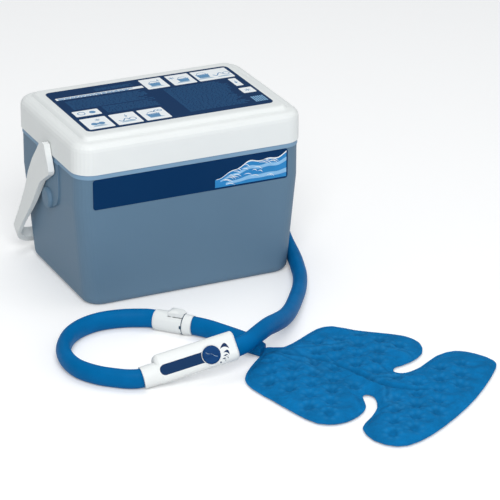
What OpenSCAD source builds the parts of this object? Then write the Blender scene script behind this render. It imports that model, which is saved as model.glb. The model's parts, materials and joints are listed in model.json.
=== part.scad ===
// Hot cold therapy machine: an insulated cooler with a circulating pump, a foam-covered
// hose with a flow regulator and a quick coupling, and a quilted therapy pad.
// Millimetres. The origin is on the floor under the middle of the cooler, +X is to the
// right along the cooler, +Y is to the rear and +Z is up.

/* [Cooler] */
// Length of the lid, the widest part of the cooler
lid_len = 335; // [320:1:350]
// Depth of the lid from front to rear
lid_dep = 231; // [215:1:245]
// Height of the closed cooler
total_h = 244; // [236:1:260]
// Height of the lid from its skirt's edge to its top
lid_h = 49; // [46:1:54]
// Radius of the upright corners of the lid
corner_r = 28; // [22:1:34]
// How far the lid stands out past the body
lid_over = 2.5; // [1.5:0.5:4]
// Height of the upright band under the lid
band_h = 53; // [48:1:58]
// How far each end wall leans in below the band
lean_x = 12; // [8:0.5:13]
// How far each long wall leans in below the band
lean_y = 4; // [2:0.5:6]
// Radius of the edge round the bottom
foot_r = 10; // [7:1:12]
// Wall thickness of the outer shell
shell_t = 2.5; // [2:0.25:3]
// Thickness of the foam between the shell and the liner
foam_t = 18; // [15:1:20]
// Wall thickness of the inner liner
liner_t = 2; // [1.5:0.25:2.5]

/* [Lid] */
// Wall thickness of the lid cover
lid_t = 3; // [2.5:0.25:3.5]
// Radius of the shoulder round the lid
shoulder_r = 11; // [8:1:13]
// Height of the raised middle of the lid
plateau_h = 5.5; // [4:0.5:7]
// Distance from the lid's edge to the raised middle
plateau_in = 17; // [15:1:20]
// How deep the lid's plug reaches into the cooler
plug_deep = 14; // [10:1:18]
// Length of the lid's label
lid_label_len = 275; // [240:5:280]
// Depth of the lid's label
lid_label_dep = 160; // [140:5:165]
// Length of the front label
front_label_len = 287; // [250:1:300]
// Height of the front label
front_label_h = 43; // [36:1:46]
// Thickness of both labels
label_t = 0.5; // [0.3:0.1:0.8]

/* [Handle] */
// Distance from the handle's pivot to the middle of its grip bar
arm_len = 199; // [194:1:204]
// Thickness of the grip bar, along the arms
bar_t = 12; // [10:1:14]
// Width of an arm below its pivot plate
arm_w = 36; // [30:1:40]
// Thickness of an arm at its pivot
arm_t = 8.5; // [8:0.5:10]
// Radius of the bend from an arm into the grip bar
bend_r = 32; // [26:1:38]
// Gap between the grip bar at rest and the rear wall
bar_clear = 1.4; // [1:0.1:3]
// Depth of the grip bar across the arms
bar_deep = 16; // [14:0.5:18]
// Depth of the pivot below the lid's edge
pivot_drop = 15; // [13:1:18]
// Distance of the pivot behind the middle of the end wall
pivot_y = 2; // [-4:1:6]
// Radius of a pivot stud
stud_r = 8; // [6:0.5:9]
// Radial running clearance round a pivot stud
pivot_clear = 0.05; // [0.02:0.01:0.08]
// How far the pads under the pivots stand out
pad_proud = 2; // [1.5:0.5:2.5]

/* [Pump] */
// Distance of the pump's axis from the middle of the cooler
pump_x = 60; // [50:1:66]
// Outer radius of the pump housing
pump_r = 32; // [31:1:34]
// Radius of the impeller
impeller_r = 15; // [12:1:15.5]
// Height of the impeller's chamber
chamber_h = 10; // [9:0.5:12]
// Height of the inlet strainer
strainer_h = 14.5; // [12:0.5:15]
// Radius of the motor shaft
shaft_r = 2; // [1.5:0.25:2.5]
// Radial running clearance round the shaft
shaft_clear = 0.03; // [0.02:0.01:0.05]
// Radius of the rotor magnet
magnet_r = 8; // [6:0.5:8.5]
// Height of the rotor magnet
magnet_h = 21; // [16:1:22]
// Outer radius of the motor can
can_r = 24; // [23:0.5:25]
// Number of vanes on the impeller
vanes = 6; // [4:1:8]
// Number of slots in the inlet strainer
strainer_slots = 20; // [12:1:24]

/* [Hose] */
// Width of the foam-covered hose
hose_w = 20; // [18:1:21]
// Height of the foam-covered hose
hose_h = 26; // [24:1:26]
// Outer radius of each small water tube
tube_r = 5.5; // [5:0.25:6]
// Radius of the bore of a barb
bore_r = 2.6; // [2:0.1:2.8]
// Outer radius of a barb
barb_r = 3.8; // [3.6:0.1:4.2]
// Height of the hose fitting's axis above the floor
port_z = 42; // [40:1:46]
// Distance of the hose fitting behind the middle of the end wall
port_y = 25; // [22:1:30]
// Radius of the hose fitting's stem
stem_r = 12; // [12:0.5:13]
// Radius of the hose fitting's flange
flange_r = 21; // [19:1:22]

/* [Power inlet] */
// Radius of the inlet's bore, for a 5.5 mm barrel plug
jack_r = 2.8; // [2.6:0.05:3]
// Radius of the inlet's centre pin
jack_pin_r = 1.05; // [0.9:0.05:1.25]
// Depth of the inlet's bore
jack_deep = 11; // [9:0.5:12]

/* [Flow regulator] */
// Length of the regulator
reg_len = 128; // [124:1:134]
// Width of the regulator's body
reg_w = 38; // [36:1:40]
// Thickness of the regulator's body
reg_t = 27.5; // [26:0.5:29]
// Length of the round sleeve at its left end
sleeve_len = 19.5; // [16:0.5:22]
// Radius of that sleeve
sleeve_r = 14.5; // [14:0.25:15]
// Wall thickness of the regulator's shells
reg_wall = 2; // [1.5:0.25:2.25]
// Distance of the knob from the left end
knob_x = 92; // [88:1:94]
// Radius of the knob
knob_r = 11.8; // [11:0.1:13.2]
// How far the knob stands out of the face
knob_h = 3.2; // [2.5:0.1:4]
// Width of the dark inlay
inlay_w = 14; // [12:0.5:15]
// Radius of the valve spool
spool_r = 5; // [4.5:0.25:5.25]
// Radial running clearance round the spool
spool_clear = 0.05; // [0.03:0.01:0.08]

/* [Coupling] */
// Length of the coupling's socket
socket_len = 42.4; // [41:0.2:44]
// Outer radius of the socket
socket_r = 14; // [13.5:0.1:14]
// Length of the plug's collar
collar_len = 11.6; // [10:0.2:14]
// Radius of the plug's nose
nose_r = 6.5; // [6:0.1:6.6]
// Travel of the thumb latch
latch_travel = 2.2; // [1.8:0.1:2.3]
// Length of the latch's button
button_len = 21; // [19:0.5:21.5]
// Half the width of the latch's button
button_y = 8.4; // [8.2:0.1:9]
// Number of turns of the latch spring
spring_turns = 6; // [4:1:7]

/* [Therapy pad] */
// Thickness of the filled pad
pad_t = 10; // [8:0.5:11]
// Width of the welded rim round the pad
rim_w = 3; // [2:0.5:4]
// Distance between the weld dots of one row
dot_pitch = 31; // [27:1:36]
// Depth of a weld dot
dot_deep = 2.4; // [1.5:0.1:3]
// Radius of a weld dot
dot_r = 6; // [4:0.5:7]

/* [Hidden] */

$fn = 64;
hull_fn = 32;       // facets of the round parts inside a hull
corner_steps = 8;   // facets of each upright corner of the cooler
fit = 0.2;      // clearance between pieces that sit in each other
gap = 0.3;      // clearance between pieces that move past each other
cut = 1;        // how far a cutting solid reaches past the face that it cuts

// Cooler, derived
body_x = lid_len / 2 - lid_over;
body_y = lid_dep / 2 - lid_over;
rim_z = total_h - lid_h;
band_z = rim_z - band_h;
shell_top = rim_z - gap;
flange_t = 2;
bead_h = 6.5;
bead_out = 1;
liner_in = shell_t + foam_t;
cavity_in = liner_in + liner_t;
liner_r = 10;
function wall_x(z) = body_x - lean_x * max(0, 1 - z / band_z);
function wall_y(z) = body_y - lean_y * max(0, 1 - z / band_z);

// Handle, derived
pivot_z = rim_z - pivot_drop;
pad_x = body_x + pad_proud;
arm_in = pad_x + 1.5;
arm_out = arm_in + arm_t;
stud_end = arm_in + arm_t - 3;
pad_bottom = pivot_z - 62;
pad_w = 78;                        // width of each pivot pad
pad_off = 5;                       // its middle lies this far before the pivot
pad_r = 30;                        // radius of its bottom corners
bar_out = arm_len + bar_t / 2;
bar_in = arm_len - bar_t / 2;
bar_front = bar_deep * 9 / 16;     // the bar's edge on the side of the cooler
bar_floor = 4;                     // least height of the bar above the floor
// Height of the bar where it meets the rear wall, and the rest angle from straight down that
// keeps it clear of that wall and of the floor
bar_z = pivot_z - sqrt(bar_in ^ 2 - (body_y - pivot_y) ^ 2);
wall_angle = atan2(bar_front, bar_in)
    + asin((wall_y(bar_z) - pivot_y + bar_clear) / norm([bar_in, bar_front]));
floor_angle = atan2(bar_front, bar_out) + acos(min(1, (pivot_z - bar_floor) / norm([bar_out, bar_front])));
rest_angle = max(wall_angle, floor_angle);
arm_half = arm_w / 2;
arm_front = arm_half + 1.5;        // widest reach of an arm on the side of the stop
// Round stop below each pivot, which the arm leans towards at rest
stop_down = 53;
stop_fore = 7;
stop_gap = 2.5;                    // left free beside the arm and the turning pivot plate
stop_h = 7;
stop_edge = 4;
plate_reach = 36.1;                // farthest point of the pivot plate from the pivot
stop_side = stop_down * sin(rest_angle) + stop_fore * cos(rest_angle) - arm_front;
stop_r = min(stop_side, norm([stop_down, stop_fore]) - plate_reach) - stop_gap;

// Pump, derived: heights from the cooler's inner floor upwards
floor_z = cavity_in;
bracket_t = 3;
strainer_z = floor_z + bracket_t;
housing_z = strainer_z + strainer_h;
plate_t = 3;
chamber_z = housing_z + plate_t;
bush_h = 4;
housing_top = chamber_z + chamber_h + bush_h;
line_gap = 6;                      // each water line's distance from the hose's axis
supply_z = port_z + line_gap;
return_z = port_z - line_gap;
nozzle_off = 13;
pump_y = port_y - nozzle_off;
nozzle_len = 40;                   // reach of the outlet nozzle from the pump's axis
nozzle_end = pump_x + nozzle_len;
nozzle_r = 6;
pump_lap = 8;                      // length of tube pushed over the nozzle's barb
eye_r = 6;                         // hole under the impeller, where the water comes in
bracket_over = 4;
strainer_t = 2.5;
slot_t = 3;
screw_deep = 8;                    // depth of the pump's screws in the housing
gasket_t = 1.5;
can_z = housing_top + gasket_t;
can_flange = 2;
can_t = 1.8;
magnet_z = can_z + 2;
can_top = magnet_z + magnet_h + 8;
sleeve_in = magnet_r + 0.6;
sleeve_t = 1;
bush_r = 4.5;
screw_r = 1.25;
screw_head_r = 2.5;
screw_circle = pump_r - 3.5;

// Hose fitting, derived
boss_r = flange_r + 2;
boss_x = wall_x(port_z + boss_r) + 0.5;
nut_boss_r = 18;
nut_boss_t = 6;
nut_face = wall_x(port_z - nut_boss_r) - cavity_in - 1.5;
nut_t = 8;
stem_end = nut_face - nut_t - 3;
barb_len = 12;
seal_t = 2;
elbow_x = boss_x + seal_t + 1.5 + hose_w / 2 + 2;
elbow_end = port_y - flange_r + 2;

// Power inlet, derived
inlet_x = body_x - 60;
inlet_z = rim_z - 30;
inlet_y = body_y - shell_t;        // the inlet's face, on the inside of the shell
inlet_hole_r = 7;                  // hole in the shell, for the plug's grip
inlet_r = 6.5;
inlet_flange_r = 10;
inlet_flange_t = 2;
inlet_deep = 15;
pin_root = 2;                      // how deep the centre pin is set in the inlet
lead_r = 2;

// Regulator, derived: its own frame has X along the hose and Z out of its face
reg_pos = [-182, -359.8, 14.6];
reg_turn = [56, -10.5, -6];
reg_mid = 4;                       // middle of the body's width, off the hose's axis
reg_r = 10;
face_z = reg_t / 2;
seat_deep = 1.2;
seat_gap = 0.5;
inlay_t = 0.8;
inlay_x = sleeve_len + 3 + inlay_w / 2;
left_round = [[0, 5], [1, 2.8], [2.5, 1.3], [5, 0]];    // how the left end rounds off: [along, in]
right_round = [[2, 0], [0, 2.5]];
line_r = 2.9;                      // each water line inside the regulator
line_wall = 0.8;
supply_off = 2.4;                  // height of the supply line towards the face
return_off = -7.6;
valve_x = 12;                      // half the valve body's length
valve_end = valve_x + 8;           // half its length over the spigots
valve_y = 7;
valve_top = 8;
valve_low = -4.4;
spool_low = valve_low + 1.2;
ring_spots = [supply_off - 3.8, supply_off + 3.8];
stem_top = face_z + 1;
post_y = reg_mid + reg_w / 2 - 5.5;
post_x = [sleeve_len + 9, (sleeve_len + reg_len) / 2, reg_len - 9];
post_r = 3;
head_z = -face_z + 3;

// Coupling, derived: its own frame has X along the hose
coupling_pos = [-95, -203, 14.2];
coupling_yaw = -47;
nose_bore = nose_r + fit;
bore_end = 22.5;
line_off = 3;
line_bore = 2;
slot_x = 25;
slot_w = 3.3;
plate_r = nose_r + 1.9;
pocket_floor = nose_bore + 2.7;
button_z = pocket_floor + latch_travel + 0.4;
button_x = socket_len - button_len - 0.6;
spring_x = bore_end - 2.3;
spring_hole_r = 2.1;
spring_bottom = line_bore + 0.6;
spring_top = button_z + 2;
spring_wire = 0.3;
nose_end = bore_end + 1;
plug_x = socket_len + 0.4;
ring_x = 35;

// Route of the hose from the elbow to the regulator, over the pad's short hose
main_route = [[elbow_x, elbow_end, port_z], [173.5, -9, 40.5], [173, -23, 35.5], [172, -38, 28.5],
    [170, -53, 22], [168, -69, 17], [165, -87, 13.8], [159.5, -107, 13.2], [152, -129, 13.2],
    [144, -151, 13.2], [133, -174, 13.2], [120, -197, 14], [105, -220, 16], [88, -245, 18],
    [70, -270, 21.5], [50, -294, 26.5], [29, -315, 33], [8, -334, 39.5], [-10, -350, 42.5],
    [-26, -362, 42.5], [-40, -369.5, 40.5], reg_end()];
// Route of the loop from the regulator to the coupling
loop_route = [reg_pos, [-190, -357, 13.8], [-201, -350.5, 13.2], [-213, -341, 13.2],
    [-225, -330, 13.2], [-236, -315, 13.2], [-244, -298, 13.2], [-247, -279, 13.2],
    [-246, -259, 13.2], [-241, -239, 13.2], [-231, -220, 13.2], [-218, -203, 13.2],
    [-202, -190, 13.2], [-184, -181.5, 13.2], [-165, -177.5, 13.2], [-146, -178.5, 13.2],
    [-128, -183, 13.4], [-111, -191, 13.8], [-102, -196.5, 14.1], coupling_pos];
// Route of the short hose from the coupling to the pad
pad_route = [coupling_end(), [-50, -252, 14.2], [-42, -263, 14], [-34, -276, 13.4],
    [-27, -289, 13.2], [-20, -303, 13.2], [-14, -316, 13.2]];

// Outline of the therapy pad, from its neck round its far end and back
neck_a = [12, -321];
neck_b = [-8, -343];
pad_outline = [[2, -332], neck_a, [32, -331], [63, -317], [96, -299], [119, -299], [142, -324],
    [168, -345], [192, -366], [201, -393], [188, -424], [160, -441], [138, -445], [129, -455],
    [139, -465], [165, -459], [202, -437], [232, -434], [252, -453], [263, -480], [254, -502],
    [210, -547], [167, -583], [113, -619], [67, -641], [36, -641], [17, -615], [19, -580],
    [42, -559], [62, -538], [72, -512], [67, -500], [59, -504], [51, -530], [30, -550], [0, -558],
    [-26, -545], [-40, -504], [-49, -465], [-58, -425], [-55, -396], [-34, -368], neck_b];
outline_steps = 2;

// A point of the regulator's frame, in the part's frame
function turned(p, a) = let(
    x = [p.x, p.y * cos(a.x) - p.z * sin(a.x), p.y * sin(a.x) + p.z * cos(a.x)],
    y = [x.x * cos(a.y) + x.z * sin(a.y), x.y, -x.x * sin(a.y) + x.z * cos(a.y)])
    [y.x * cos(a.z) - y.y * sin(a.z), y.x * sin(a.z) + y.y * cos(a.z), y.z];
function reg_end() = reg_pos + turned([reg_len, 0, 0], reg_turn);
function coupling_end() = coupling_pos + (plug_x + collar_len) * [cos(coupling_yaw), sin(coupling_yaw), 0];

function unit(v) = v / norm(v);
// Direction of travel at point i of a route
function heading(p, i) = unit(p[min(i + 1, len(p) - 1)] - p[max(i - 1, 0)]);
// One oval ring of n points square to the route at point i, w wide and h high
function ring(p, i, w, h, n, d) = let(side = unit(cross([0, 0, 1], d)), up = cross(d, side))
    [for (k = [0:n - 1]) p[i] + side * w / 2 * cos(360 * k / n) + up * h / 2 * sin(360 * k / n)];
// Ends of a route keep the direction of the fitting that they meet
function route_rings(p, w, h, n, d0, d1) = [for (i = [0:len(p) - 1])
    each ring(p, i, w, h, n, i == 0 ? d0 : i == len(p) - 1 ? d1 : heading(p, i))];
function tube_faces(rings, n) = concat([[for (k = [0:n - 1]) k]],
    [for (i = [0:rings - 2], k = [0:n - 1]) let(a = i * n + k, b = i * n + (k + 1) % n)
        each [[a, a + n, b + n], [a, b + n, b]]],
    [[for (k = [n - 1:-1:0]) (rings - 1) * n + k]]);

// Smooth closed curve through a list of points, with s steps between two points
function smooth(p, s) = let(n = len(p)) [for (i = [0:n - 1], j = [0:s - 1]) let(t = j / s,
    a = p[(i + n - 1) % n], b = p[i], c = p[(i + 1) % n], d = p[(i + 2) % n])
    (2 * b + (c - a) * t + (2 * a - 5 * b + 4 * c - d) * t * t
        + (3 * b - a - 3 * c + d) * t * t * t) / 2];
// A closed outline that runs anticlockwise, moved in by d
function moved_in(p, d) = let(n = len(p)) [for (i = [0:n - 1])
    let(t = unit(p[(i + 1) % n] - p[(i + n - 1) % n])) p[i] + d * [-t.y, t.x]];
function off_segment(q, a, b) = let(t = max(0, min(1, (q - a) * (b - a) / ((b - a) * (b - a)))))
    norm(q - a - t * (b - a));
function inside(q, p) = len([for (i = [0:len(p) - 1]) let(a = p[i], b = p[(i + 1) % len(p)])
    if ((a.y > q.y) != (b.y > q.y) && q.x < (b.x - a.x) * (q.y - a.y) / (b.y - a.y) + a.x) 1]) % 2 == 1;
function clear_of(q, p, d) = min([for (i = [0:len(p) - 1])
    off_segment(q, p[i], p[(i + 1) % len(p)])]) > d;

// Points round part of a circle, from angle a0 to a1
function arc(cx, cy, r, a0, a1, n) = [for (i = [0:n]) let(a = a0 + (a1 - a0) * i / n)
    [cx + r * cos(a), cy + r * sin(a)]];

// Rectangle with round corners
module rounded(x, y, r) {
    square([x - 2 * r, y], center = true);
    square([x, y - 2 * r], center = true);
    for (i = [-1, 1], j = [-1, 1]) translate([i * (x / 2 - r), j * (y / 2 - r)]) circle(r);
}

// A level of a box with half sizes hx and hy, corner radius r, at height z
function level(hx, hy, r, z) = [for (q = [0:3], k = [0:corner_steps])
    let(a = 90 * (q + k / corner_steps), c = max(r, 2), sx = q == 0 || q == 3 ? 1 : -1, sy = q < 2 ? 1 : -1)
        [sx * (hx - c) + c * cos(a), sy * (hy - c) + c * sin(a), z]];
// Solid skin over a stack of levels, from the lowest up
module stack(levels) polyhedron([for (l = levels) each l], tube_faces(len(levels), len(levels[0])));

// The tapered tub of the cooler, moved in by d, from z0 up to z1 with bottom radius r
module tub(d, z0, z1, r) stack(concat(
    [for (a = [90:-22.5:0]) let(z = z0 + r * (1 - sin(a)), s = d + r * (1 - cos(a)))
        level(wall_x(z) - s, wall_y(z) - s, corner_r - lid_over - s, z)],
    [for (z = [band_z, z1]) level(body_x - d, body_y - d, corner_r - lid_over - d, z)]));

// Solid standing on its long axis along X
module along_x(x, len) translate([x, 0, 0]) rotate([90, 0, 90]) linear_extrude(len) children();
module rod_x(x, len, r) translate([x, 0, 0]) rotate([0, 90, 0]) cylinder(h = len, r = r);
module rod_y(y, len, r) translate([0, y, 0]) rotate([-90, 0, 0]) cylinder(h = len, r = r);

// --- Cooler ---------------------------------------------------------------------------

// Raised pad with a round bottom that carries a handle pivot
module pivot_pad() translate([0, pivot_y - pad_off, 0])
    along_x(body_x - shell_t - cut, pad_proud + shell_t + cut) union() {
        translate([-pad_w / 2, pad_bottom + pad_r]) square([pad_w, shell_top - bead_h - pad_bottom - pad_r]);
        translate([pad_r - pad_w / 2, pad_bottom]) square([pad_w - 2 * pad_r, pad_r + cut]);
        for (i = [-1, 1]) translate([i * (pad_w / 2 - pad_r), pad_bottom + pad_r]) circle(pad_r);
    }

module outer_shell() color("#6f8496") difference() {
    union() {
        tub(0, 0, shell_top, foot_r);
        translate([0, 0, shell_top - bead_h]) linear_extrude(bead_h)
            rounded(2 * (body_x + bead_out), 2 * (body_y + bead_out), corner_r - lid_over + bead_out);
        for (m = [0, 1]) mirror([m, 0, 0]) {
            pivot_pad();
            translate([body_x - shell_t, pivot_y - stop_fore, pivot_z - stop_down]) rotate([0, 90, 0])
                rotate_extrude() polygon(concat([[0, 0], [stop_r, 0]],
                    arc(stop_r - stop_edge, shell_t + stop_h - stop_edge, stop_edge, 0, 90, 6),
                    [[0, shell_t + stop_h]]));
        }
        translate([0, port_y, port_z]) rod_x(boss_x - 6, 6, boss_r);
    }
    tub(shell_t, shell_t, shell_top + cut, foot_r - shell_t);
    translate([0, port_y, port_z]) rod_x(boss_x - 10, 20, stem_r + gap);
    at_inlet() rod_y(inlet_y - cut, shell_t + 2 * cut, inlet_hole_r);
    for (m = [0, 1]) mirror([m, 0, 0]) translate([0, pivot_y, pivot_z])
        rod_x(pad_x - 4, 10, stud_r - 3 + pivot_clear);
}

module foam_insulation() color("#efe6c8") difference() {
    tub(shell_t + fit, shell_t + fit, shell_top - flange_t - fit, foot_r - shell_t);
    tub(liner_in - fit, liner_in - fit, shell_top + cut, liner_r);
    translate([0, port_y, port_z]) rod_x(nut_face - cut, nut_boss_t + cut + fit, nut_boss_r + fit);
    translate([0, port_y, port_z]) rod_x(boss_x - 40, 60, stem_r + gap);
    at_inlet() rod_y(inlet_y - inlet_flange_t - fit, inlet_flange_t + fit + cut, inlet_flange_r + fit);
    at_inlet() rod_y(inlet_y - inlet_deep - fit, inlet_deep + fit, inlet_r + fit);
    at_inlet() rod_y(body_y - 60, 60, lead_r + gap);
}

module inner_liner() color("#f2f3f1") difference() {
    union() {
        difference() {
            union() {
                tub(liner_in, liner_in, shell_top, liner_r);
                translate([0, 0, shell_top - flange_t]) linear_extrude(flange_t)
                    rounded(2 * (body_x - shell_t - fit), 2 * (body_y - shell_t - fit),
                        corner_r - lid_over - shell_t);
            }
            tub(cavity_in, cavity_in, shell_top + cut, liner_r - liner_t);
        }
        translate([0, port_y, port_z]) rod_x(nut_face, nut_boss_t, nut_boss_r);
    }
    translate([0, port_y, port_z]) rod_x(nut_face - cut, 30, stem_r + gap);
    at_inlet() rod_y(body_y - 60, 60, lead_r + gap);
}

module front_label() color("#16325c")
    translate([-1.75, -body_y, band_z + 2.5 + front_label_h / 2]) rotate([90, 0, 0])
        linear_extrude(label_t) rounded(front_label_len, front_label_h, 4);

// --- Lid ------------------------------------------------------------------------------

// Levels of the lid's outside moved in by d, from z0 up over the shoulder
shoulder_z = total_h - label_t - plateau_h;
function lid_level(s, z) = level(lid_len / 2 - s, lid_dep / 2 - s, corner_r - s, z);
function lid_levels(d, z0) = concat([lid_level(d, z0)], [for (a = [0:22.5:90])
    lid_level(d + shoulder_r * (1 - cos(a)), shoulder_z - d - shoulder_r * (1 - sin(a)))]);
// Levels of the raised middle: a soft valley at its foot and a round top edge
plateau_levels = [lid_level(plateau_in - 3, shoulder_z), lid_level(plateau_in - 0.5, shoulder_z + 1),
    for (a = [30:30:90]) lid_level(plateau_in + plateau_h * (1 - cos(a)), shoulder_z + plateau_h * sin(a))];

module lid_cover() color("#f4f5f3") difference() {
    stack(concat(lid_levels(0, rim_z), plateau_levels));
    stack(lid_levels(lid_t, rim_z - cut));
}

// Lid pan: plate that closes the lid's underside, with the plug that drops into the cooler
pan_t = 2;
pan_z = rim_z;
plug_in = cavity_in + lid_over + 2;
module plug_block(d, z1) stack([
    level(lid_len / 2 - plug_in - d - 3, lid_dep / 2 - plug_in - d - 3, 10, rim_z - plug_deep + d),
    level(lid_len / 2 - plug_in - d, lid_dep / 2 - plug_in - d, 12, z1)]);

module lid_pan() color("#e9ebea") difference() {
    union() {
        translate([0, 0, pan_z]) linear_extrude(pan_t)
            rounded(lid_len - 2 * (lid_t + fit), lid_dep - 2 * (lid_t + fit), corner_r - lid_t);
        plug_block(0, pan_z + pan_t / 2);
    }
    plug_block(pan_t, pan_z + pan_t + cut);
}

module lid_foam() color("#efe6c8") {
    stack(lid_levels(lid_t + fit, pan_z + pan_t + fit));
    plug_block(pan_t + fit, pan_z + pan_t + fit + 1);
}

module lid_label() color("#16325c") translate([0, 0, total_h - label_t])
    linear_extrude(label_t) rounded(lid_label_len, lid_label_dep, 8);

// --- Handle ---------------------------------------------------------------------------

// One half of the U seen from behind: an arm, the bend and half the grip bar
arm_splay = 1.7;    // how far the arms lean outwards from the plates down to the bends
low_out = arm_out - 2;
low_in = arm_in + arm_splay;
bend_in = bend_r - 8;
plate_low = 20;     // the arms lean from this far below the pivots
half_bail = concat([[arm_in, 40], [arm_out, 40], [arm_out, -50]],
    arc(low_out - bend_r, bend_r - bar_out, bend_r, 0, -90, 10),
    [[0, -bar_out], [0, -bar_in]],
    arc(low_in - bend_in, bend_in - bar_in, bend_in, -90, 0, 10), [[arm_in, -plate_low]]);

// Side profile of the arms, swept through the whole width; + is away from the cooler
bar_rear = bar_deep - bar_front;
bail_end = -bar_out - 15;
bail_side = [[36, 2], [33, 8], [21, 14.5], [8, 15], [-20, arm_half - 0.5], [-52, arm_half - 2],
    [-84, 10.5], [-126, 8], [15 - arm_len, bar_rear], [bail_end, bar_rear], [bail_end, -bar_front],
    [15 - arm_len, -bar_front - 0.5], [-140, -12.5], [-100, -17], [-76, 0.5 - arm_front],
    [-24, -arm_front], [0, -28], [12, -32], [18, -31], [21, -26], [28, -13]];

module carry_handle() color("#f4f5f3") translate([0, pivot_y, pivot_z]) rotate([rest_angle, 0, 0])
    difference() {
        intersection() {
            for (m = [0, 1]) mirror([m, 0, 0]) translate([0, 60, 0]) rotate([90, 0, 0])
                linear_extrude(120) polygon(half_bail);
            rotate([90, 0, 90]) linear_extrude(2 * arm_out + 20, center = true)
                polygon([for (p = bail_side) [p.y, p.x]]);
        }
        for (m = [0, 1]) mirror([m, 0, 0]) rod_x(arm_in - cut, stud_end - arm_in + cut + gap,
            stud_r + pivot_clear);
    }

module handle_pivots() color("#c9ced0") for (m = [0, 1]) mirror([m, 0, 0])
    translate([0, pivot_y, pivot_z]) {
        rod_x(pad_x - 3.5, 3.5, stud_r - 3);
        rod_x(pad_x, arm_in - pad_x - gap, stud_r + 4);
        rod_x(pad_x, stud_end - pad_x, stud_r);
    }

// --- Pump -----------------------------------------------------------------------------

module at_pump() translate([pump_x, pump_y, 0]) children();
module pipe(z, h, ro, ri) translate([0, 0, z]) difference() {
    cylinder(h = h, r = ro);
    translate([0, 0, -cut]) cylinder(h = h + 2 * cut, r = ri);
}

module pump_bracket() color("#3a3f45") at_pump() difference() {
    translate([0, 0, floor_z]) cylinder(h = bracket_t, r = pump_r + bracket_over);
    translate([0, 0, floor_z - cut]) cylinder(h = bracket_t + 2 * cut, r = pump_r / 2);
}

module inlet_strainer() color("#d7dbdd") at_pump() difference() {
    pipe(strainer_z, strainer_h, pump_r - 0.5, pump_r - 0.5 - strainer_t);
    for (i = [0:strainer_slots - 1]) rotate([0, 0, 360 * i / strainer_slots])
        translate([pump_r - 2 * strainer_t, -slot_t / 2, strainer_z + slot_t])
            cube([3 * strainer_t, slot_t, strainer_h - 2 * slot_t]);
}

module pump_housing() color("#2f3338") difference() {
    union() {
        at_pump() translate([0, 0, housing_z]) cylinder(h = housing_top - housing_z, r = pump_r);
        translate([pump_x + nozzle_off, port_y, supply_z]) {
            rod_x(0, nozzle_len - nozzle_off - pump_lap, nozzle_r);
            rod_x(0, nozzle_len - nozzle_off, barb_r);
        }
    }
    at_pump() translate([0, 0, chamber_z]) cylinder(h = chamber_h, r = impeller_r + 2.3);
    at_pump() translate([0, 0, housing_z - cut]) cylinder(h = plate_t + 2 * cut, r = eye_r);
    at_pump() translate([0, 0, housing_top - bush_h - cut]) cylinder(h = bush_h + 2 * cut, r = bush_r);
    translate([0, port_y, supply_z]) rod_x(pump_x, nozzle_end - pump_x + cut, bore_r);
    at_pump() screw_spots() translate([0, 0, housing_top - screw_deep - gap])
        cylinder(h = screw_deep + gap + cut, r = screw_r);
}

module screw_spots() for (a = [45:90:315]) rotate([0, 0, a]) translate([screw_circle, 0, 0]) children();

module pump_gasket() color("#b03a2e") at_pump() difference() {
    pipe(housing_top, gasket_t, pump_r, can_r - 2);
    screw_spots() translate([0, 0, housing_top - cut]) cylinder(h = gasket_t + 2 * cut, r = screw_r);
}

module motor_can() color("#2f3338") at_pump() difference() {
    union() {
        translate([0, 0, can_z]) cylinder(h = can_flange, r = pump_r);
        translate([0, 0, can_z]) cylinder(h = can_top - can_z, r = can_r);
    }
    translate([0, 0, can_z - cut]) cylinder(h = can_top - can_z - can_t + cut, r = can_r - can_t);
    translate([0, 0, can_top - 5]) cylinder(h = 10, r = lead_r + fit);
    screw_spots() translate([0, 0, can_z - cut]) cylinder(h = can_flange + 2 * cut, r = screw_r);
}

module motor_stator() color("#b87333") at_pump() difference() {
    pipe(magnet_z, magnet_h, can_r - can_t - fit, sleeve_in + sleeve_t + fit);
    for (i = [0:5]) rotate([0, 0, 60 * i]) translate([12.5, -2, magnet_z - cut])
        cube([6.5, 4, magnet_h + 2 * cut]);
}

module rotor_sleeve() color("#9aa4ab") at_pump() {
    difference() {
        translate([0, 0, can_z]) cylinder(h = magnet_h + 7.5, r = sleeve_in + sleeve_t);
        translate([0, 0, can_z - cut]) cylinder(h = magnet_h + 7.5, r = sleeve_in);
    }
    pipe(housing_top, gasket_t, sleeve_in + sleeve_t, sleeve_in);
}

module rotor_magnet() color("#3b3f46") at_pump() pipe(magnet_z, magnet_h, magnet_r, shaft_r);

module impeller_shaft() color("#d5d9dc") at_pump() translate([0, 0, chamber_z + 1])
    cylinder(h = can_z + magnet_h + 5 - chamber_z, r = shaft_r);

module impeller() color("#f0f0ee") at_pump() difference() {
    union() {
        translate([0, 0, chamber_z + chamber_h - 3]) cylinder(h = 2, r = impeller_r);
        translate([0, 0, chamber_z + 1]) cylinder(h = chamber_h - 2, r = 4.5);
        for (i = [0:vanes - 1]) rotate([0, 0, 360 * i / vanes]) translate([3, -0.6, chamber_z + 1.5])
            cube([impeller_r - 4, 1.2, chamber_h - 4]);
    }
    translate([0, 0, chamber_z]) cylinder(h = chamber_h, r = shaft_r);
}

module shaft_bushes() color("#c8a35a") at_pump() {
    pipe(housing_top - bush_h, bush_h, bush_r, shaft_r + shaft_clear);
    pipe(can_z + magnet_h + 3.5, 2, sleeve_in - fit, shaft_r + shaft_clear);
}

module pump_screws() color("#c2c7ca") at_pump() screw_spots() {
    translate([0, 0, housing_top - screw_deep])
        cylinder(h = can_z + can_flange - housing_top + screw_deep, r = screw_r);
    translate([0, 0, can_z + can_flange]) cylinder(h = 2, r = screw_head_r);
}

// --- Hose fitting ---------------------------------------------------------------------

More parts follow.
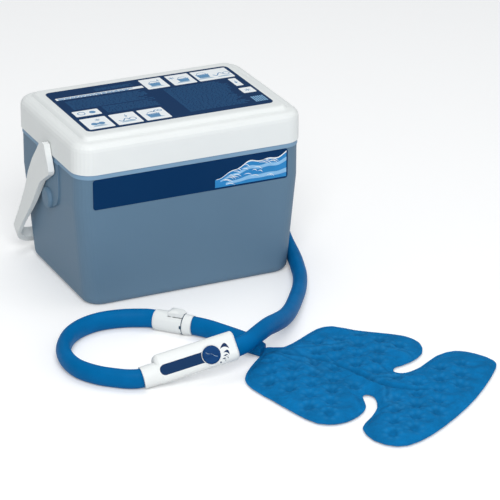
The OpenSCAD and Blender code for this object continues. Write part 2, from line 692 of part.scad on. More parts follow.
module line_tube(x0, x1, y, z) translate([0, y, z]) difference() {
    rod_x(x0, x1 - x0, tube_r);
    rod_x(x0 - cut, x1 - x0 + 2 * cut, barb_r);
}
module supply_tube() color("#cfe3ea") line_tube(nozzle_end - pump_lap, stem_end - gap, port_y, supply_z);
module return_tube() color("#cfe3ea") line_tube(nozzle_end - pump_lap / 2, stem_end - gap, port_y, return_z);

module hose_elbow() color("#1f6fb5") translate([0, port_y, port_z]) difference() {
    union() {
        rod_x(stem_end, boss_x + seal_t - stem_end + 1, stem_r);
        rod_x(boss_x + seal_t, 3, flange_r);
        rod_x(boss_x + seal_t, elbow_x - boss_x - seal_t, 15);
        translate([elbow_x, 17, 0]) rotate([90, 0, 0]) linear_extrude(port_y + 17 - elbow_end)
            rounded(hose_w + 4, hose_h + 4, hose_w / 2 + 1);
        for (z = [-line_gap, line_gap]) translate([0, 0, z]) rod_x(stem_end - barb_len, barb_len + 1, barb_r);
    }
    for (z = [-line_gap, line_gap]) translate([0, 0, z]) {
        rod_x(stem_end - barb_len - cut, elbow_x - stem_end + barb_len + cut, bore_r);
        translate([elbow_x, 0, 0]) rod_y(elbow_end - port_y - cut, port_y - elbow_end + cut, bore_r);
    }
}

module elbow_gasket() color("#30343a") translate([0, port_y, port_z]) difference() {
    rod_x(boss_x, seal_t, flange_r);
    rod_x(boss_x - cut, seal_t + 2 * cut, stem_r);
}

module elbow_nut() color("#e4e6e6") translate([0, port_y, port_z]) difference() {
    translate([nut_face - nut_t, 0, 0]) rotate([0, 90, 0]) cylinder(h = nut_t, r = stem_r + 4, $fn = 6);
    rod_x(nut_face - nut_t - cut, nut_t + 2 * cut, stem_r);
}

// --- Power inlet ----------------------------------------------------------------------

module at_inlet() translate([inlet_x, 0, inlet_z]) children();

module power_inlet() color("#23272b") at_inlet() difference() {
    union() {
        rod_y(inlet_y - inlet_flange_t, inlet_flange_t, inlet_flange_r);
        rod_y(inlet_y - inlet_deep, inlet_deep, inlet_r);
    }
    rod_y(inlet_y - jack_deep, jack_deep + cut, jack_r);
    rod_y(inlet_y - jack_deep - pin_root, pin_root + cut, jack_pin_r);
}

module power_inlet_pin() color("#cfd3d6") at_inlet()
    rod_y(inlet_y - jack_deep - pin_root, jack_deep + pin_root - 1, jack_pin_r);

// The lead runs level through the wall, then falls in a slack curve to the top of the motor can
lead_bend = liner_in + liner_t - shell_t - inlet_deep;
lead_start = [inlet_x, inlet_y - inlet_deep, inlet_z];
lead_wall = lead_start - [0, lead_bend + lead_r, 0];
lead_end = [pump_x, pump_y, can_top - can_t + fit];
lead_low = can_top + 3 * lead_r;   // height of the slack above the can
// Share of the way across to the pump, and share of the height that is left
lead_falls = [[0.03, 0.95], [0.09, 0.8], [0.18, 0.57], [0.31, 0.33], [0.48, 0.15], [0.66, 0.06],
    [0.84, 0.03], [0.95, 0.01], [1, -0.04]];
lead_route = concat([lead_start, lead_wall], [for (f = lead_falls)
    [lead_wall.x + f[0] * (lead_end.x - lead_wall.x), lead_wall.y + f[0] * (lead_end.y - lead_wall.y),
        lead_low + f[1] * (inlet_z - lead_low)]], [lead_end]);
module power_lead() color("#1d2024") polyhedron(
    route_rings(lead_route, 2 * lead_r, 2 * lead_r, 8, [0, -1, 0], [0, -0.01, -1]),
    tube_faces(len(lead_route), 8));

// --- Hoses ----------------------------------------------------------------------------

hose_sides = 12;
module hose(route, d0, d1) color("#1b63ae") polyhedron(
    route_rings(route, hose_w, hose_h, hose_sides, d0, d1), tube_faces(len(route), hose_sides));
reg_dir = turned([1, 0, 0], reg_turn);
coupling_dir = [cos(coupling_yaw), sin(coupling_yaw), 0];
module main_hose() hose(main_route, [0, -1, 0], -reg_dir);
module loop_hose() hose(loop_route, -reg_dir, coupling_dir);
module pad_hose() hose(pad_route, coupling_dir, port_dir);

// --- Flow regulator -------------------------------------------------------------------

module in_regulator() translate(reg_pos) rotate(reg_turn) children();

// Cross section of the body and the round sleeve, both moved in by d
module reg_section(d) translate([reg_mid, 0]) rounded(reg_w - 2 * d, reg_t - 2 * d, reg_r - d, $fn = hull_fn);
module reg_block(d) {
    hull() {
        for (e = left_round) along_x(sleeve_len + d + e[0], 1) reg_section(d + e[1]);
        for (e = right_round) along_x(reg_len - d - e[0] - 1, 1) reg_section(d + e[1]);
    }
    rod_x(d, sleeve_len + 4, sleeve_r - d);
}
module half_space(side) translate([-20, -60, side > 0 ? 0 : -60]) cube([reg_len + 40, 120, 60]);
module line_holes(r) for (z = [supply_off, return_off]) translate([0, 0, z])
    rod_x(-cut, reg_len + 2 * cut, r);
module posts() for (x = post_x) translate([x, post_y, 0]) children();

module regulator_cover() color("#f4f5f3") in_regulator() difference() {
    union() {
        intersection() {
            difference() {
                reg_block(0);
                reg_block(reg_wall);
            }
            half_space(1);
        }
        posts() cylinder(h = face_z - 4, r = post_r);
        translate([knob_x, 0, face_z - reg_wall - seat_deep])
            cylinder(h = seat_deep + reg_wall / 2, r = knob_r + 2);
        inlay_shape(face_z - reg_wall - inlay_t, reg_wall, 1.2);
    }
    translate([knob_x, 0, face_z - seat_deep]) cylinder(h = 10, r = knob_r + seat_gap);
    translate([knob_x, 0, valve_top]) cylinder(h = 20, r = spool_r);
    inlay_shape(face_z - inlay_t, 10, fit / 2);
    posts() translate([0, 0, -cut]) cylinder(h = 7, r = screw_r);
    line_holes(line_r + fit);
}

module regulator_base() color("#eceeed") in_regulator() difference() {
    union() {
        intersection() {
            difference() {
                reg_block(0);
                reg_block(reg_wall);
            }
            half_space(-1);
        }
        posts() translate([0, 0, head_z - 1]) cylinder(h = 1 - head_z, r = post_r);
    }
    posts() translate([0, 0, -face_z - cut]) cylinder(h = face_z + head_z + cut, r = screw_head_r + fit);
    posts() translate([0, 0, -face_z]) cylinder(h = face_z + cut, r = screw_r + 0.1);
    line_holes(line_r + fit);
}

// The slot that runs from the sleeve to the knob's seat, wider by w all round
module inlay_shape(z, h, w) difference() {
    translate([0, 0, z]) linear_extrude(h) {
        translate([inlay_x, 0]) circle(inlay_w / 2 + w);
        translate([inlay_x, -inlay_w / 2 - w]) square([knob_x - inlay_x, inlay_w + 2 * w]);
    }
    translate([knob_x, 0, z - cut]) cylinder(h = h + 2 * cut, r = knob_r + seat_gap + 0.6 - w);
}

module regulator_inlay() color("#16325c") in_regulator() inlay_shape(face_z - inlay_t, inlay_t, 0);

module at_knob() in_regulator() translate([knob_x, 0, 0]) children();

module flow_knob() color("#1d4f94") at_knob() difference() {
    union() {
        translate([0, 0, face_z - seat_deep + gap]) cylinder(h = seat_deep - gap + knob_h - 1.2, r = knob_r);
        translate([0, 0, face_z + knob_h - 1.2]) cylinder(h = 1.2, r1 = knob_r, r2 = knob_r - 1.5);
        translate([-knob_r + 2.5, -1.2, face_z + knob_h - 1]) cube([2 * knob_r - 5, 2.4, 2.2]);
    }
    translate([0, 0, face_z - 5]) cylinder(h = 5 + stem_top - face_z + fit, r = stem_spool_r);
}

stem_spool_r = spool_r - 1.5;
groove_h = 1.8;
module valve_spool() color("#d9dcdd") at_knob() difference() {
    union() {
        translate([0, 0, spool_low]) cylinder(h = valve_top - spool_low, r = spool_r);
        translate([0, 0, valve_top]) cylinder(h = stem_top - valve_top, r = stem_spool_r);
    }
    translate([0, 0, supply_off]) rod_x(-spool_r - cut, 2 * (spool_r + cut), line_r - line_wall - 0.3);
    for (z = ring_spots) translate([0, 0, z - groove_h / 2]) difference() {
        cylinder(h = groove_h, r = spool_r + cut);
        translate([0, 0, -cut]) cylinder(h = groove_h + 2 * cut, r = stem_spool_r);
    }
}

module spool_o_rings() color("#202326") at_knob()
    for (z = ring_spots) translate([0, 0, z]) rotate_extrude() translate([spool_r - 0.75, 0]) circle(0.72);

module valve_body() color("#e6e8e8") at_knob() difference() {
    union() {
        translate([-valve_x, -valve_y, valve_low]) cube([2 * valve_x, 2 * valve_y, valve_top - valve_low]);
        translate([0, 0, supply_off]) rod_x(-valve_end, 2 * valve_end, line_r - line_wall);
    }
    translate([0, 0, spool_low - gap]) cylinder(h = 2 * valve_top, r = spool_r + spool_clear);
    translate([0, 0, supply_off]) rod_x(-valve_end - cut, 2 * (valve_end + cut), line_r - line_wall - 0.6);
}

module reg_tube(z) translate([0, 0, z]) difference() {
    rod_x(0, reg_len, line_r);
    rod_x(-cut, reg_len + 2 * cut, line_r - line_wall);
}
module valve_supply_tubes() color("#cfe3ea") in_regulator() difference() {
    reg_tube(supply_off);
    translate([knob_x - valve_x, -10, -10]) cube([2 * valve_x, 20, 30]);
}
module valve_return_tube() color("#cfe3ea") in_regulator() reg_tube(return_off);

module regulator_screws() color("#c2c7ca") in_regulator() posts() {
    translate([0, 0, head_z]) cylinder(h = 5.5 - head_z, r = screw_r);
    translate([0, 0, head_z - 2]) cylinder(h = 2, r = screw_head_r);
}

// --- Coupling -------------------------------------------------------------------------

module in_coupling() translate(coupling_pos) rotate([0, 0, coupling_yaw]) children();
module bore_pair(x, len) for (y = [-line_off, line_off]) translate([0, y, 0]) rod_x(x, len, line_bore);

module coupling_socket() color("#f4f5f3") in_coupling() difference() {
    union() {
        rod_x(2, socket_len - 2, socket_r);
        rotate([0, 90, 0]) cylinder(h = 2, r1 = socket_r - 0.8, r2 = socket_r);
    }
    bore_pair(-cut, bore_end + 2 * cut);
    rod_x(bore_end, socket_len, nose_bore);
    translate([button_x - gap, -button_y - gap, pocket_floor])
        cube([socket_len, 2 * (button_y + gap), 20]);
    translate([slot_x, 0, 0]) along_x(0, slot_w) {
        circle(plate_r + gap);
        translate([0, -latch_travel]) circle(plate_r + gap);
        translate([-plate_r - gap, -latch_travel]) square([2 * (plate_r + gap), latch_travel + 20]);
    }
    translate([spring_x, 0, spring_bottom]) cylinder(h = 20, r = spring_hole_r);
}

module coupling_latch() color("#f7f7f5") in_coupling() difference() {
    union() {
        intersection() {
            translate([button_x, -button_y, button_z]) cube([button_len, 2 * button_y, 12]);
            translate([button_x + button_len * 0.42, -20, button_z - 8.7]) rod_y(0, 40, 16);
            translate([0, 0, 5]) rod_x(0, 60, 14.5);
        }
        translate([slot_x + gap, 0, 0]) along_x(0, slot_w - 2 * gap) {
            circle(plate_r);
            translate([-plate_r, 0]) square([2 * plate_r, button_z + 1]);
        }
    }
    translate([slot_x - 2, 0, 0]) along_x(0, slot_w + 4) {
        circle(nose_r + gap);
        translate([0, latch_travel]) circle(nose_r + gap);
        translate([-nose_r - gap, 0]) square([2 * (nose_r + gap), latch_travel]);
    }
    translate([spring_x, 0, button_z - cut]) cylinder(h = 2 + cut, r = spring_hole_r);
}

// Helix of the latch spring: six-sided wire
spring_steps = 12;
spring_mid_r = spring_hole_r - spring_wire - fit;
function coil_ring(i) = let(a = 360 * i / spring_steps, n = spring_turns * spring_steps,
    z = spring_bottom + spring_wire + (spring_top - spring_bottom - 2 * spring_wire) * i / n)
    [for (k = [0:5]) let(b = 60 * k) [(spring_mid_r + spring_wire * cos(b)) * cos(a),
        (spring_mid_r + spring_wire * cos(b)) * sin(a), z - spring_wire * sin(b)]];
module latch_spring() color("#b9bec2") in_coupling() translate([spring_x, 0, 0]) polyhedron(
    [for (i = [0:spring_turns * spring_steps]) each coil_ring(i)],
    tube_faces(spring_turns * spring_steps + 1, 6));

module coupling_plug() color("#f4f5f3") in_coupling() difference() {
    union() {
        rod_x(nose_end, plug_x - nose_end + 1, nose_r);
        translate([plug_x, 0, 0]) rotate([0, 90, 0])
            cylinder(h = collar_len, r1 = socket_r, r2 = socket_r - 0.8);
    }
    bore_pair(nose_end - cut, plug_x + collar_len);
    translate([slot_x - 0.2, 0, 0]) ring_cut(slot_w + 0.4, nose_r - 1);
    translate([ring_x - 1, 0, 0]) ring_cut(2, nose_r - 1.5);
}
module ring_cut(w, r) difference() {
    rod_x(0, w, nose_r + cut);
    rod_x(-cut, w + 2 * cut, r);
}

module plug_o_ring() color("#202326") in_coupling() translate([ring_x, 0, 0]) rotate([0, 90, 0])
    rotate_extrude() translate([nose_r - 0.7, 0]) circle(0.78);

// --- Therapy pad ----------------------------------------------------------------------

neck_mid = (neck_a + neck_b) / 2;
neck_in = unit([neck_a.y - neck_b.y, neck_b.x - neck_a.x]);
neck_yaw = atan2(neck_in.y, neck_in.x);
port_yaw = -62;
port_dir = [cos(port_yaw), sin(port_yaw), 0];
port_start = pad_route[len(pad_route) - 1];
rim_z0 = pad_t * 0.26;
rim_z1 = pad_t * 0.44;

module pad_port() color("#1b63ae") hull() {
    translate(port_start) rotate([0, 0, port_yaw]) rotate([90, 0, 90]) linear_extrude(1)
        rounded(hose_w + 2, hose_h - 0.4, hose_w / 2 - 1, $fn = hull_fn);
    translate([neck_mid.x, neck_mid.y, pad_t / 2] - (1 + gap) * [neck_in.x, neck_in.y, 0])
        rotate([0, 0, neck_yaw]) rotate([90, 0, 90]) linear_extrude(1)
            rounded(27, pad_t - 1, 3.5, $fn = hull_fn);
}

pad_turned = [for (i = [len(pad_outline) - 1:-1:0]) pad_outline[i]];
pad_curve = smooth(pad_turned, outline_steps);
// Levels of the pad from its flat underside over the welded rim to its crown
pad_levels = [[7, 0], [rim_w, rim_z0 - 1], [0, rim_z0], [0, rim_z1], [rim_w, rim_z1 + 0.5],
    [rim_w + 3, pad_t * 0.8], [rim_w + 8, pad_t]];
module pad_blank() {
    n = len(pad_curve);
    polyhedron([for (l = pad_levels) each [for (p = moved_in(pad_curve, l[0])) [p.x, p.y, l[1]]]],
        tube_faces(len(pad_levels), n));
}

module therapy_pad() color("#1f6fb0") resize([0, 0, pad_t]) difference() {
    pad_blank();
    for (i = [-6:8], j = [0:14]) let(q = [dot_pitch * (i + (j % 2) / 2) + 90, -318 - dot_pitch * 0.87 * j])
        if (inside(q, pad_curve) && clear_of(q, pad_curve, rim_w + 9 + dot_r))
            translate([q.x, q.y, pad_t - dot_deep])
                cylinder(h = dot_deep + 0.5, r1 = dot_r / 2, r2 = dot_r, $fn = 6);
}

outer_shell();
foam_insulation();
inner_liner();
front_label();
lid_cover();
lid_foam();
lid_pan();
lid_label();
carry_handle();
handle_pivots();
pump_bracket();
inlet_strainer();
pump_housing();
pump_gasket();
motor_can();
motor_stator();
rotor_sleeve();
rotor_magnet();
impeller_shaft();
impeller();
shaft_bushes();
pump_screws();
supply_tube();
return_tube();
hose_elbow();
elbow_gasket();
elbow_nut();
power_inlet();
power_inlet_pin();
power_lead();
main_hose();
loop_hose();
pad_hose();
regulator_cover();
regulator_base();
regulator_inlay();
flow_knob();
valve_spool();
spool_o_rings();
valve_body();
valve_supply_tubes();
valve_return_tube();
regulator_screws();
coupling_socket();
coupling_latch();
latch_spring();
coupling_plug();
plug_o_ring();
pad_port();
therapy_pad();
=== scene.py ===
# %% [markdown]
# # Hot cold therapy machine
# An insulated cooler pumps cold or warm water through a foam-covered hose to a quilted pad.
# The construction comes in as a fixed frame, already at its real size. This script gives each
# piece its finish, and makes the soft pieces that a construction model can't hold: the hose's
# foam, the quilted pad, and the printing on the labels.

# %% Load the frame
import json
from math import cos, pi, radians, sin
import bmesh
import bpy
import numpy as np
from mathutils import Matrix, Vector
from mathutils.bvhtree import BVHTree
from mathutils.geometry import delaunay_2d_cdt


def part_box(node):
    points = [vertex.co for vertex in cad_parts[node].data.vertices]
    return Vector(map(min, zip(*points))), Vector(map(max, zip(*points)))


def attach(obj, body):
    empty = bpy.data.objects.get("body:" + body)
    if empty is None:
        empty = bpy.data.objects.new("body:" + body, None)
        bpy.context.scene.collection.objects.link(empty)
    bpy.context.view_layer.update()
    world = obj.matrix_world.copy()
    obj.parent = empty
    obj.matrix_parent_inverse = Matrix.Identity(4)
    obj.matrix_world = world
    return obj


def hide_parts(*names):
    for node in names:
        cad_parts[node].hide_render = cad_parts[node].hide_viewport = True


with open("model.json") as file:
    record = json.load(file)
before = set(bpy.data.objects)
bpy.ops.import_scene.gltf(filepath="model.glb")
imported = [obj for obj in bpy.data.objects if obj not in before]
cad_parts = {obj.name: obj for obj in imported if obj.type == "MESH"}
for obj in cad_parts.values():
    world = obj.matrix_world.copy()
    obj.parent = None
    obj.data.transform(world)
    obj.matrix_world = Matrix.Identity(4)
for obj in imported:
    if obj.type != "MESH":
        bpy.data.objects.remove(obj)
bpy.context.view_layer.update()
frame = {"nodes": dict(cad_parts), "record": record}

nodes = frame["nodes"]
scene = bpy.context.scene

# %% [markdown]
# ## Camera
# A catalogue picture of a small object is taken from well away with a long lens, which keeps
# the upright edges nearly parallel. So this camera stands four metres off with a 200 mm lens,
# a little above the object and to its left.

# %% Camera
camera_place = Vector((-1.4242, -3.2945, 1.5810))
camera_target = Vector((0.13092, -0.01811, 0))
camera_roll = radians(0.36)
camera_lens = 200.9
camera = bpy.data.objects.new("camera", bpy.data.cameras.new("camera"))
camera.data.sensor_width = 36
camera.data.lens = camera_lens
camera.data.clip_end = 30
look = (camera_target - camera_place).to_track_quat("-Z", "Y").to_matrix().to_4x4()
camera.matrix_world = Matrix.Translation(camera_place) @ look @ Matrix.Rotation(camera_roll, 4, "Z")
scene.collection.objects.link(camera)
scene.camera = camera
print("camera:", camera_lens, "mm at", tuple(round(c, 3) for c in camera_place))

# %% [markdown]
# ## Surfaces from arrays
# A formula gives all the points of a new surface at once, as an array, and one helper turns the
# array into a mesh. A second helper does so for a tube: its points are a grid that closes round
# its columns, and its two ends are capped.


# %% Arrays to mesh
def put_mesh(name, points, faces, smooth=True):
    """A new object at the origin whose mesh has these points and faces."""
    mesh = bpy.data.meshes.new(name)
    mesh.from_pydata(np.asarray(points, float).reshape(-1, 3).tolist(), [], [list(f) for f in faces])
    mesh.polygons.foreach_set("use_smooth", [smooth] * len(mesh.polygons))
    mesh.update()
    piece = bpy.data.objects.new(name, mesh)
    scene.collection.objects.link(piece)
    return piece


def put_tube(name, grid):
    """A grid of points (rows, columns, 3) as a closed tube. Each face takes two neighbours of one
    row and the two of the next row, anticlockwise seen from outside."""
    rows, cols = grid.shape[:2]
    i, j = np.meshgrid(np.arange(rows - 1), np.arange(cols), indexing="ij")
    k = (j + 1) % cols
    sides = np.stack([i * cols + j, i * cols + k, (i + 1) * cols + k, (i + 1) * cols + j], -1)
    first_cap = list(range(cols - 1, -1, -1))
    last_cap = list(range((rows - 1) * cols, rows * cols))
    return put_mesh(name, grid, sides.reshape(-1, 4).tolist() + [first_cap, last_cap])


# %% [markdown]
# ## The hose
# Two water tubes run side by side, one above the other, inside one soft sleeve of foam, so the
# sleeve is an oval 20 mm wide and 26 mm high. It leaves the elbow at the right-hand end, comes
# round the corner on the floor, climbs over the pad's short hose and enters the regulator. From
# there a loop lies on the floor and ends in the coupling. Each route is a few listed points, and
# a smooth curve is drawn through them.


# %% Curves and tubes
def unit(v):
    """Vectors scaled to length one."""
    return v / np.linalg.norm(v, axis=-1, keepdims=True)


def curve_through(points, step):
    """Points every step metres along the smooth curve through the given points: between two
    points, a cubic whose slope at each is half the way from the point before to the one after.
    Also gives how far along the curve each of them lies."""
    p = np.asarray(points, float)
    p = np.vstack([2 * p[0] - p[1], p, 2 * p[-1] - p[-2]])
    a, b, c, d = (p[k:len(p) - 3 + k, None] for k in range(4))
    t = np.linspace(0, 1, 24, endpoint=False)[None, :, None]
    q = (2 * b + (c - a) * t + (2 * a - 5 * b + 4 * c - d) * t**2 + (3 * b - a - 3 * c + d) * t**3) / 2
    q = np.vstack([q.reshape(-1, 3), p[-2]])
    along = np.concatenate([[0], np.cumsum(np.linalg.norm(np.diff(q, axis=0), axis=1))])
    where = np.linspace(0, along[-1], int(round(along[-1] / step)) + 1)
    return np.stack([np.interp(where, along, q[:, k]) for k in range(3)], -1), where


def oval_tube(path, width, height, sides, start, end):
    """Ovals square to a path: at each point, side is level and square to the direction of
    travel, up is square to both, and a ring point is side * w/2 * cos + up * h/2 * sin."""
    travel = unit(np.gradient(path, axis=0))
    travel[0], travel[-1] = start, end
    side = unit(np.cross([0, 0, 1], travel))
    up = np.cross(travel, side)
    a = np.linspace(0, 2 * pi, sides, endpoint=False)[None, :, None]
    return path[:, None] + side[:, None] * width / 2 * np.cos(a) + up[:, None] * height / 2 * np.sin(a)


def turn_matrix(turn):
    """Turns about X, then Y, then Z."""
    return np.array(Matrix.Rotation(turn[2], 3, "Z") @ Matrix.Rotation(turn[1], 3, "Y")
                    @ Matrix.Rotation(turn[0], 3, "X"))


# %% Hose routes, in metres
hose_width, hose_height = 0.020, 0.026
hose_sides = 40
ring_step = 0.003
regulator_start = (-0.182, -0.3598, 0.0146)
regulator_turn = tuple(radians(a) for a in (56, -10.5, -6))
regulator_len = 0.128
coupling_place = (-0.095, -0.203, 0.0142)
coupling_yaw = radians(-47)
collar_end = 0.0544
port_yaw = radians(-62)
elbow_mouth = (0.1745, 0.006, 0.042)
regulator_axes = turn_matrix(regulator_turn)
coupling_axes = turn_matrix((0, 0, coupling_yaw))
regulator_end = tuple(np.array(regulator_start) + regulator_axes @ (regulator_len, 0, 0))
coupling_end = tuple(np.array(coupling_place) + coupling_axes @ (collar_end, 0, 0))
main_points = [
    elbow_mouth, (0.1735, -0.009, 0.0405), (0.173, -0.023, 0.0355), (0.172, -0.038, 0.0285),
    (0.170, -0.053, 0.022), (0.168, -0.069, 0.017), (0.165, -0.087, 0.0138), (0.1595, -0.107, 0.0132),
    (0.152, -0.129, 0.0132), (0.144, -0.151, 0.0132), (0.133, -0.174, 0.0132), (0.120, -0.197, 0.014),
    (0.105, -0.220, 0.016), (0.088, -0.245, 0.018), (0.070, -0.270, 0.0215), (0.050, -0.294, 0.0265),
    (0.029, -0.315, 0.033), (0.008, -0.334, 0.0395), (-0.010, -0.350, 0.0425),
    (-0.026, -0.362, 0.0425), (-0.040, -0.3695, 0.0405), regulator_end]
loop_points = [
    regulator_start, (-0.190, -0.357, 0.0138), (-0.201, -0.3505, 0.0132), (-0.213, -0.341, 0.0132),
    (-0.225, -0.330, 0.0132), (-0.236, -0.315, 0.0132), (-0.244, -0.298, 0.0132), (-0.247, -0.279, 0.0132),
    (-0.246, -0.259, 0.0132), (-0.241, -0.239, 0.0132), (-0.231, -0.220, 0.0132), (-0.218, -0.203, 0.0132),
    (-0.202, -0.190, 0.0132), (-0.184, -0.1815, 0.0132), (-0.165, -0.1775, 0.0132),
    (-0.146, -0.1785, 0.0132), (-0.128, -0.183, 0.0134), (-0.111, -0.191, 0.0138),
    (-0.102, -0.1965, 0.0141), coupling_place]
pad_points = [
    coupling_end, (-0.050, -0.252, 0.0142), (-0.042, -0.263, 0.014), (-0.034, -0.276, 0.0134),
    (-0.027, -0.289, 0.0132), (-0.020, -0.303, 0.0132), (-0.014, -0.316, 0.0132)]
elbow_way = (0, -1, 0)
regulator_way = tuple(-regulator_axes[:, 0])
coupling_way = tuple(coupling_axes[:, 0])
port_way = (cos(port_yaw), sin(port_yaw), 0)


# %% Make the three hoses
def make_hose(node, points, start, end, body):
    """One stretch of foam sleeve that stands for a plain tube of the frame."""
    path, along = curve_through(points, ring_step)
    piece = put_tube(node + "_sleeve", oval_tube(path, hose_width, hose_height, hose_sides, start, end))
    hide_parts(node)
    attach(piece, body)
    print(piece.name, "is", round(along[-1], 3), "m long")
    return piece, path, along[-1]


main_hose, main_path, main_len = make_hose("main_hose", main_points, elbow_way, regulator_way, "base")
loop_hose, loop_path, loop_len = make_hose("loop_hose", loop_points, regulator_way, coupling_way, "base")
pad_hose, pad_path, pad_len = make_hose("pad_hose", pad_points, coupling_way, port_way, "pad")
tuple(main_points[0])

# %% [markdown]
# ## Finishes
# Nearly all of the object is moulded plastic: a fine pebble texture from the mould, colour that
# is even but not perfectly so, and a soft gloss. A finish here is a short expression on the
# coordinates of the surface. A small class lets sockets be added and multiplied as numbers are.


# %% Shader expressions
class Value:
    """A socket that carries a number. Sums, differences and products of it add Math nodes."""

    def __init__(self, graph, socket):
        self.graph, self.socket = graph, socket

    def math(self, operation, *others):
        """The result of one Math node on this value and the others."""
        given = dict(enumerate([self, *others]))
        return Value(self.graph, self.graph.node("Math", {"operation": operation}, given).outputs[0])

    def __add__(self, other):
        return self.math("ADD", other)

    def __sub__(self, other):
        return self.math("SUBTRACT", other)

    def __mul__(self, other):
        return self.math("MULTIPLY", other)

    def __rsub__(self, other):
        return (self * -1) + other

    __radd__ = __add__
    __rmul__ = __mul__

    def ramp(self, low, high):
        """0 at low and below, 1 at high and above, and smooth in between."""
        settings = {"interpolation_type": "SMOOTHSTEP"}
        given = {"Value": self, "From Min": low, "From Max": high}
        return Value(self.graph, self.graph.node("MapRange", settings, given).outputs[0])


class Graph:
    """An empty node tree, and the one method that adds nodes to it."""

    def __init__(self, tree):
        self.tree = tree
        tree.nodes.clear()

    def node(self, kind, settings, given):
        """A shader node of this kind: settings are set first, then the sockets are given values or
        links, by name or by number."""
        made = self.tree.nodes.new("ShaderNode" + kind)
        for key, value in settings.items():
            setattr(made, key, value)
        for key, value in given.items():
            socket = made.inputs[key]
            if isinstance(value, Value):
                value = value.socket
            if isinstance(value, bpy.types.NodeSocket):
                self.tree.links.new(value, socket)
            else:
                socket.default_value = value
        return made

    def either_ray(self, *kinds):
        """1 for a ray of one of these kinds, else 0: the greatest of the kinds' own answers."""
        rays = self.node("LightPath", {}, {})
        found = Value(self, rays.outputs[f"Is {kinds[0]} Ray"])
        for kind in kinds[1:]:
            found = found.math("MAXIMUM", Value(self, rays.outputs[f"Is {kind} Ray"]))
        return found


class Finish(Graph):
    """A material that is built from one Principled shader and what feeds it."""

    def __init__(self, name, **constants):
        self.material = bpy.data.materials.new(name)
        self.material.use_nodes = True
        super().__init__(self.material.node_tree)
        self.shader = self.node("BsdfPrincipled", {}, {k.replace("_", " "): v for k, v in constants.items()})
        self.output = self.node("OutputMaterial", {}, {"Surface": self.shader.outputs[0]})
        self.place = self.node("TexCoord", {}, {}).outputs["Object"]

    def noise(self, scale, detail=2.0, roughness=0.5, at=None):
        """Cloudy noise from 0 to 1, with about scale clouds a metre."""
        given = {"Vector": at or self.place, "Scale": scale, "Detail": detail, "Roughness": roughness}
        return Value(self, self.node("TexNoise", {}, given).outputs[0])

    def cells(self, scale):
        """Distance to the nearest of scattered points, about scale of them a metre."""
        given = {"Vector": self.place, "Scale": scale}
        return Value(self, self.node("TexVoronoi", {"feature": "F1"}, given).outputs["Distance"])

    def attribute(self, name):
        """A number stored on the points of the piece."""
        return Value(self, self.node("Attribute", {"attribute_name": name}, {}).outputs["Fac"])

    def axis(self, name):
        """One coordinate, in metres."""
        return Value(self, self.node("SeparateXYZ", {}, {0: self.place}).outputs[name])

    def mix(self, share, a, b):
        """Colour a where share is 0 and b where it is 1."""
        given = {0: share, 6: a, 7: b}
        return self.node("Mix", {"data_type": "RGBA"}, given).outputs[2]

    def bump(self, height, depth, under=None):
        """A normal from a height between 0 and 1 that stands for depth metres."""
        given = {"Height": height, "Distance": depth, "Strength": 1.0}
        if under is not None:
            given["Normal"] = under
        return self.node("Bump", {}, given).outputs[0]

    def feed(self, name, value):
        """Links a value or a socket to one input of the shader."""
        self.tree.links.new(value.socket if isinstance(value, Value) else value, self.shader.inputs[name])

    def put_on(self, *pieces):
        """This finish on each of these objects."""
        for piece in pieces:
            if not piece.data.materials:
                piece.data.materials.append(self.material)
            for spot in piece.material_slots:
                spot.link = "OBJECT"
                spot.material = self.material


def colour(code):
    """A hex code such as 3a6ea5 as the linear colour that a shader takes."""
    parts = [int(code[k:k + 2], 16) / 255 for k in (0, 2, 4)]
    return tuple(c / 12.92 if c <= 0.04045 else ((c + 0.055) / 1.055) ** 2.4 for c in parts) + (1.0,)


def shade(rgba, factor):
    """A colour made darker or lighter by a factor."""
    return tuple(min(1, c * factor) for c in rgba[:3]) + (rgba[3],)


# %% Kinds of finish
def moulded(name, code, rough=0.42, grain=0.00004, grain_scale=1800, clouds=14, variation=0.05, **constants):
    """Plastic with mould grain: fine noise lifts the surface by grain, slow clouds change the
    colour by variation and the roughness by a tenth."""
    f = Finish(name, **constants)
    base = colour(code)
    slow = f.noise(clouds, 3)
    fine = f.noise(grain_scale, 2, 0.6)
    f.feed("Base Color", f.mix(slow, shade(base, 1 - variation), shade(base, 1 + variation)))
    f.feed("Roughness", slow * 0.1 + fine * 0.08 + (rough - 0.09))
    f.feed("Normal", f.bump(fine, grain))
    return f


def tub_plastic(name, code, rim_highlight_code):
    """Moulded plastic whose flared rim under the lid is painted paler, a painted highlight where the rim
    catches the light.
    """
    f = moulded(name, code, 0.5, variation=0.04, Specular_IOR_Level=0.25)
    rim_depth, rim_edge, rim_share = 0.0075, 0.0008, 0.75
    rim_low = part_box("outer_shell")[1][2] - rim_depth
    # painted highlight: the top of the rim is blended towards a paler blue
    rim_highlight = f.axis("Z").ramp(rim_low, rim_low + rim_edge) * rim_share
    plain = f.shader.inputs["Base Color"].links[0].from_socket
    f.feed("Base Color", f.mix(rim_highlight, plain, colour(rim_highlight_code)))
    return f


def metal(name, code, rough=0.3, streak=(1, 1, 0.03)):
    """Turned or drawn metal: noise stretched along one axis gives fine streaks."""
    f = Finish(name, Metallic=1.0)
    base = colour(code)
    long_way = f.node("Mapping", {}, {"Vector": f.place, "Scale": streak}).outputs[0]
    streaks = f.noise(2500, 2, at=long_way)
    f.feed("Base Color", f.mix(streaks, shade(base, 0.85), shade(base, 1.1)))
    f.feed("Roughness", streaks * 0.2 + (rough - 0.1))
    f.feed("Normal", f.bump(streaks, 0.00001))
    return f


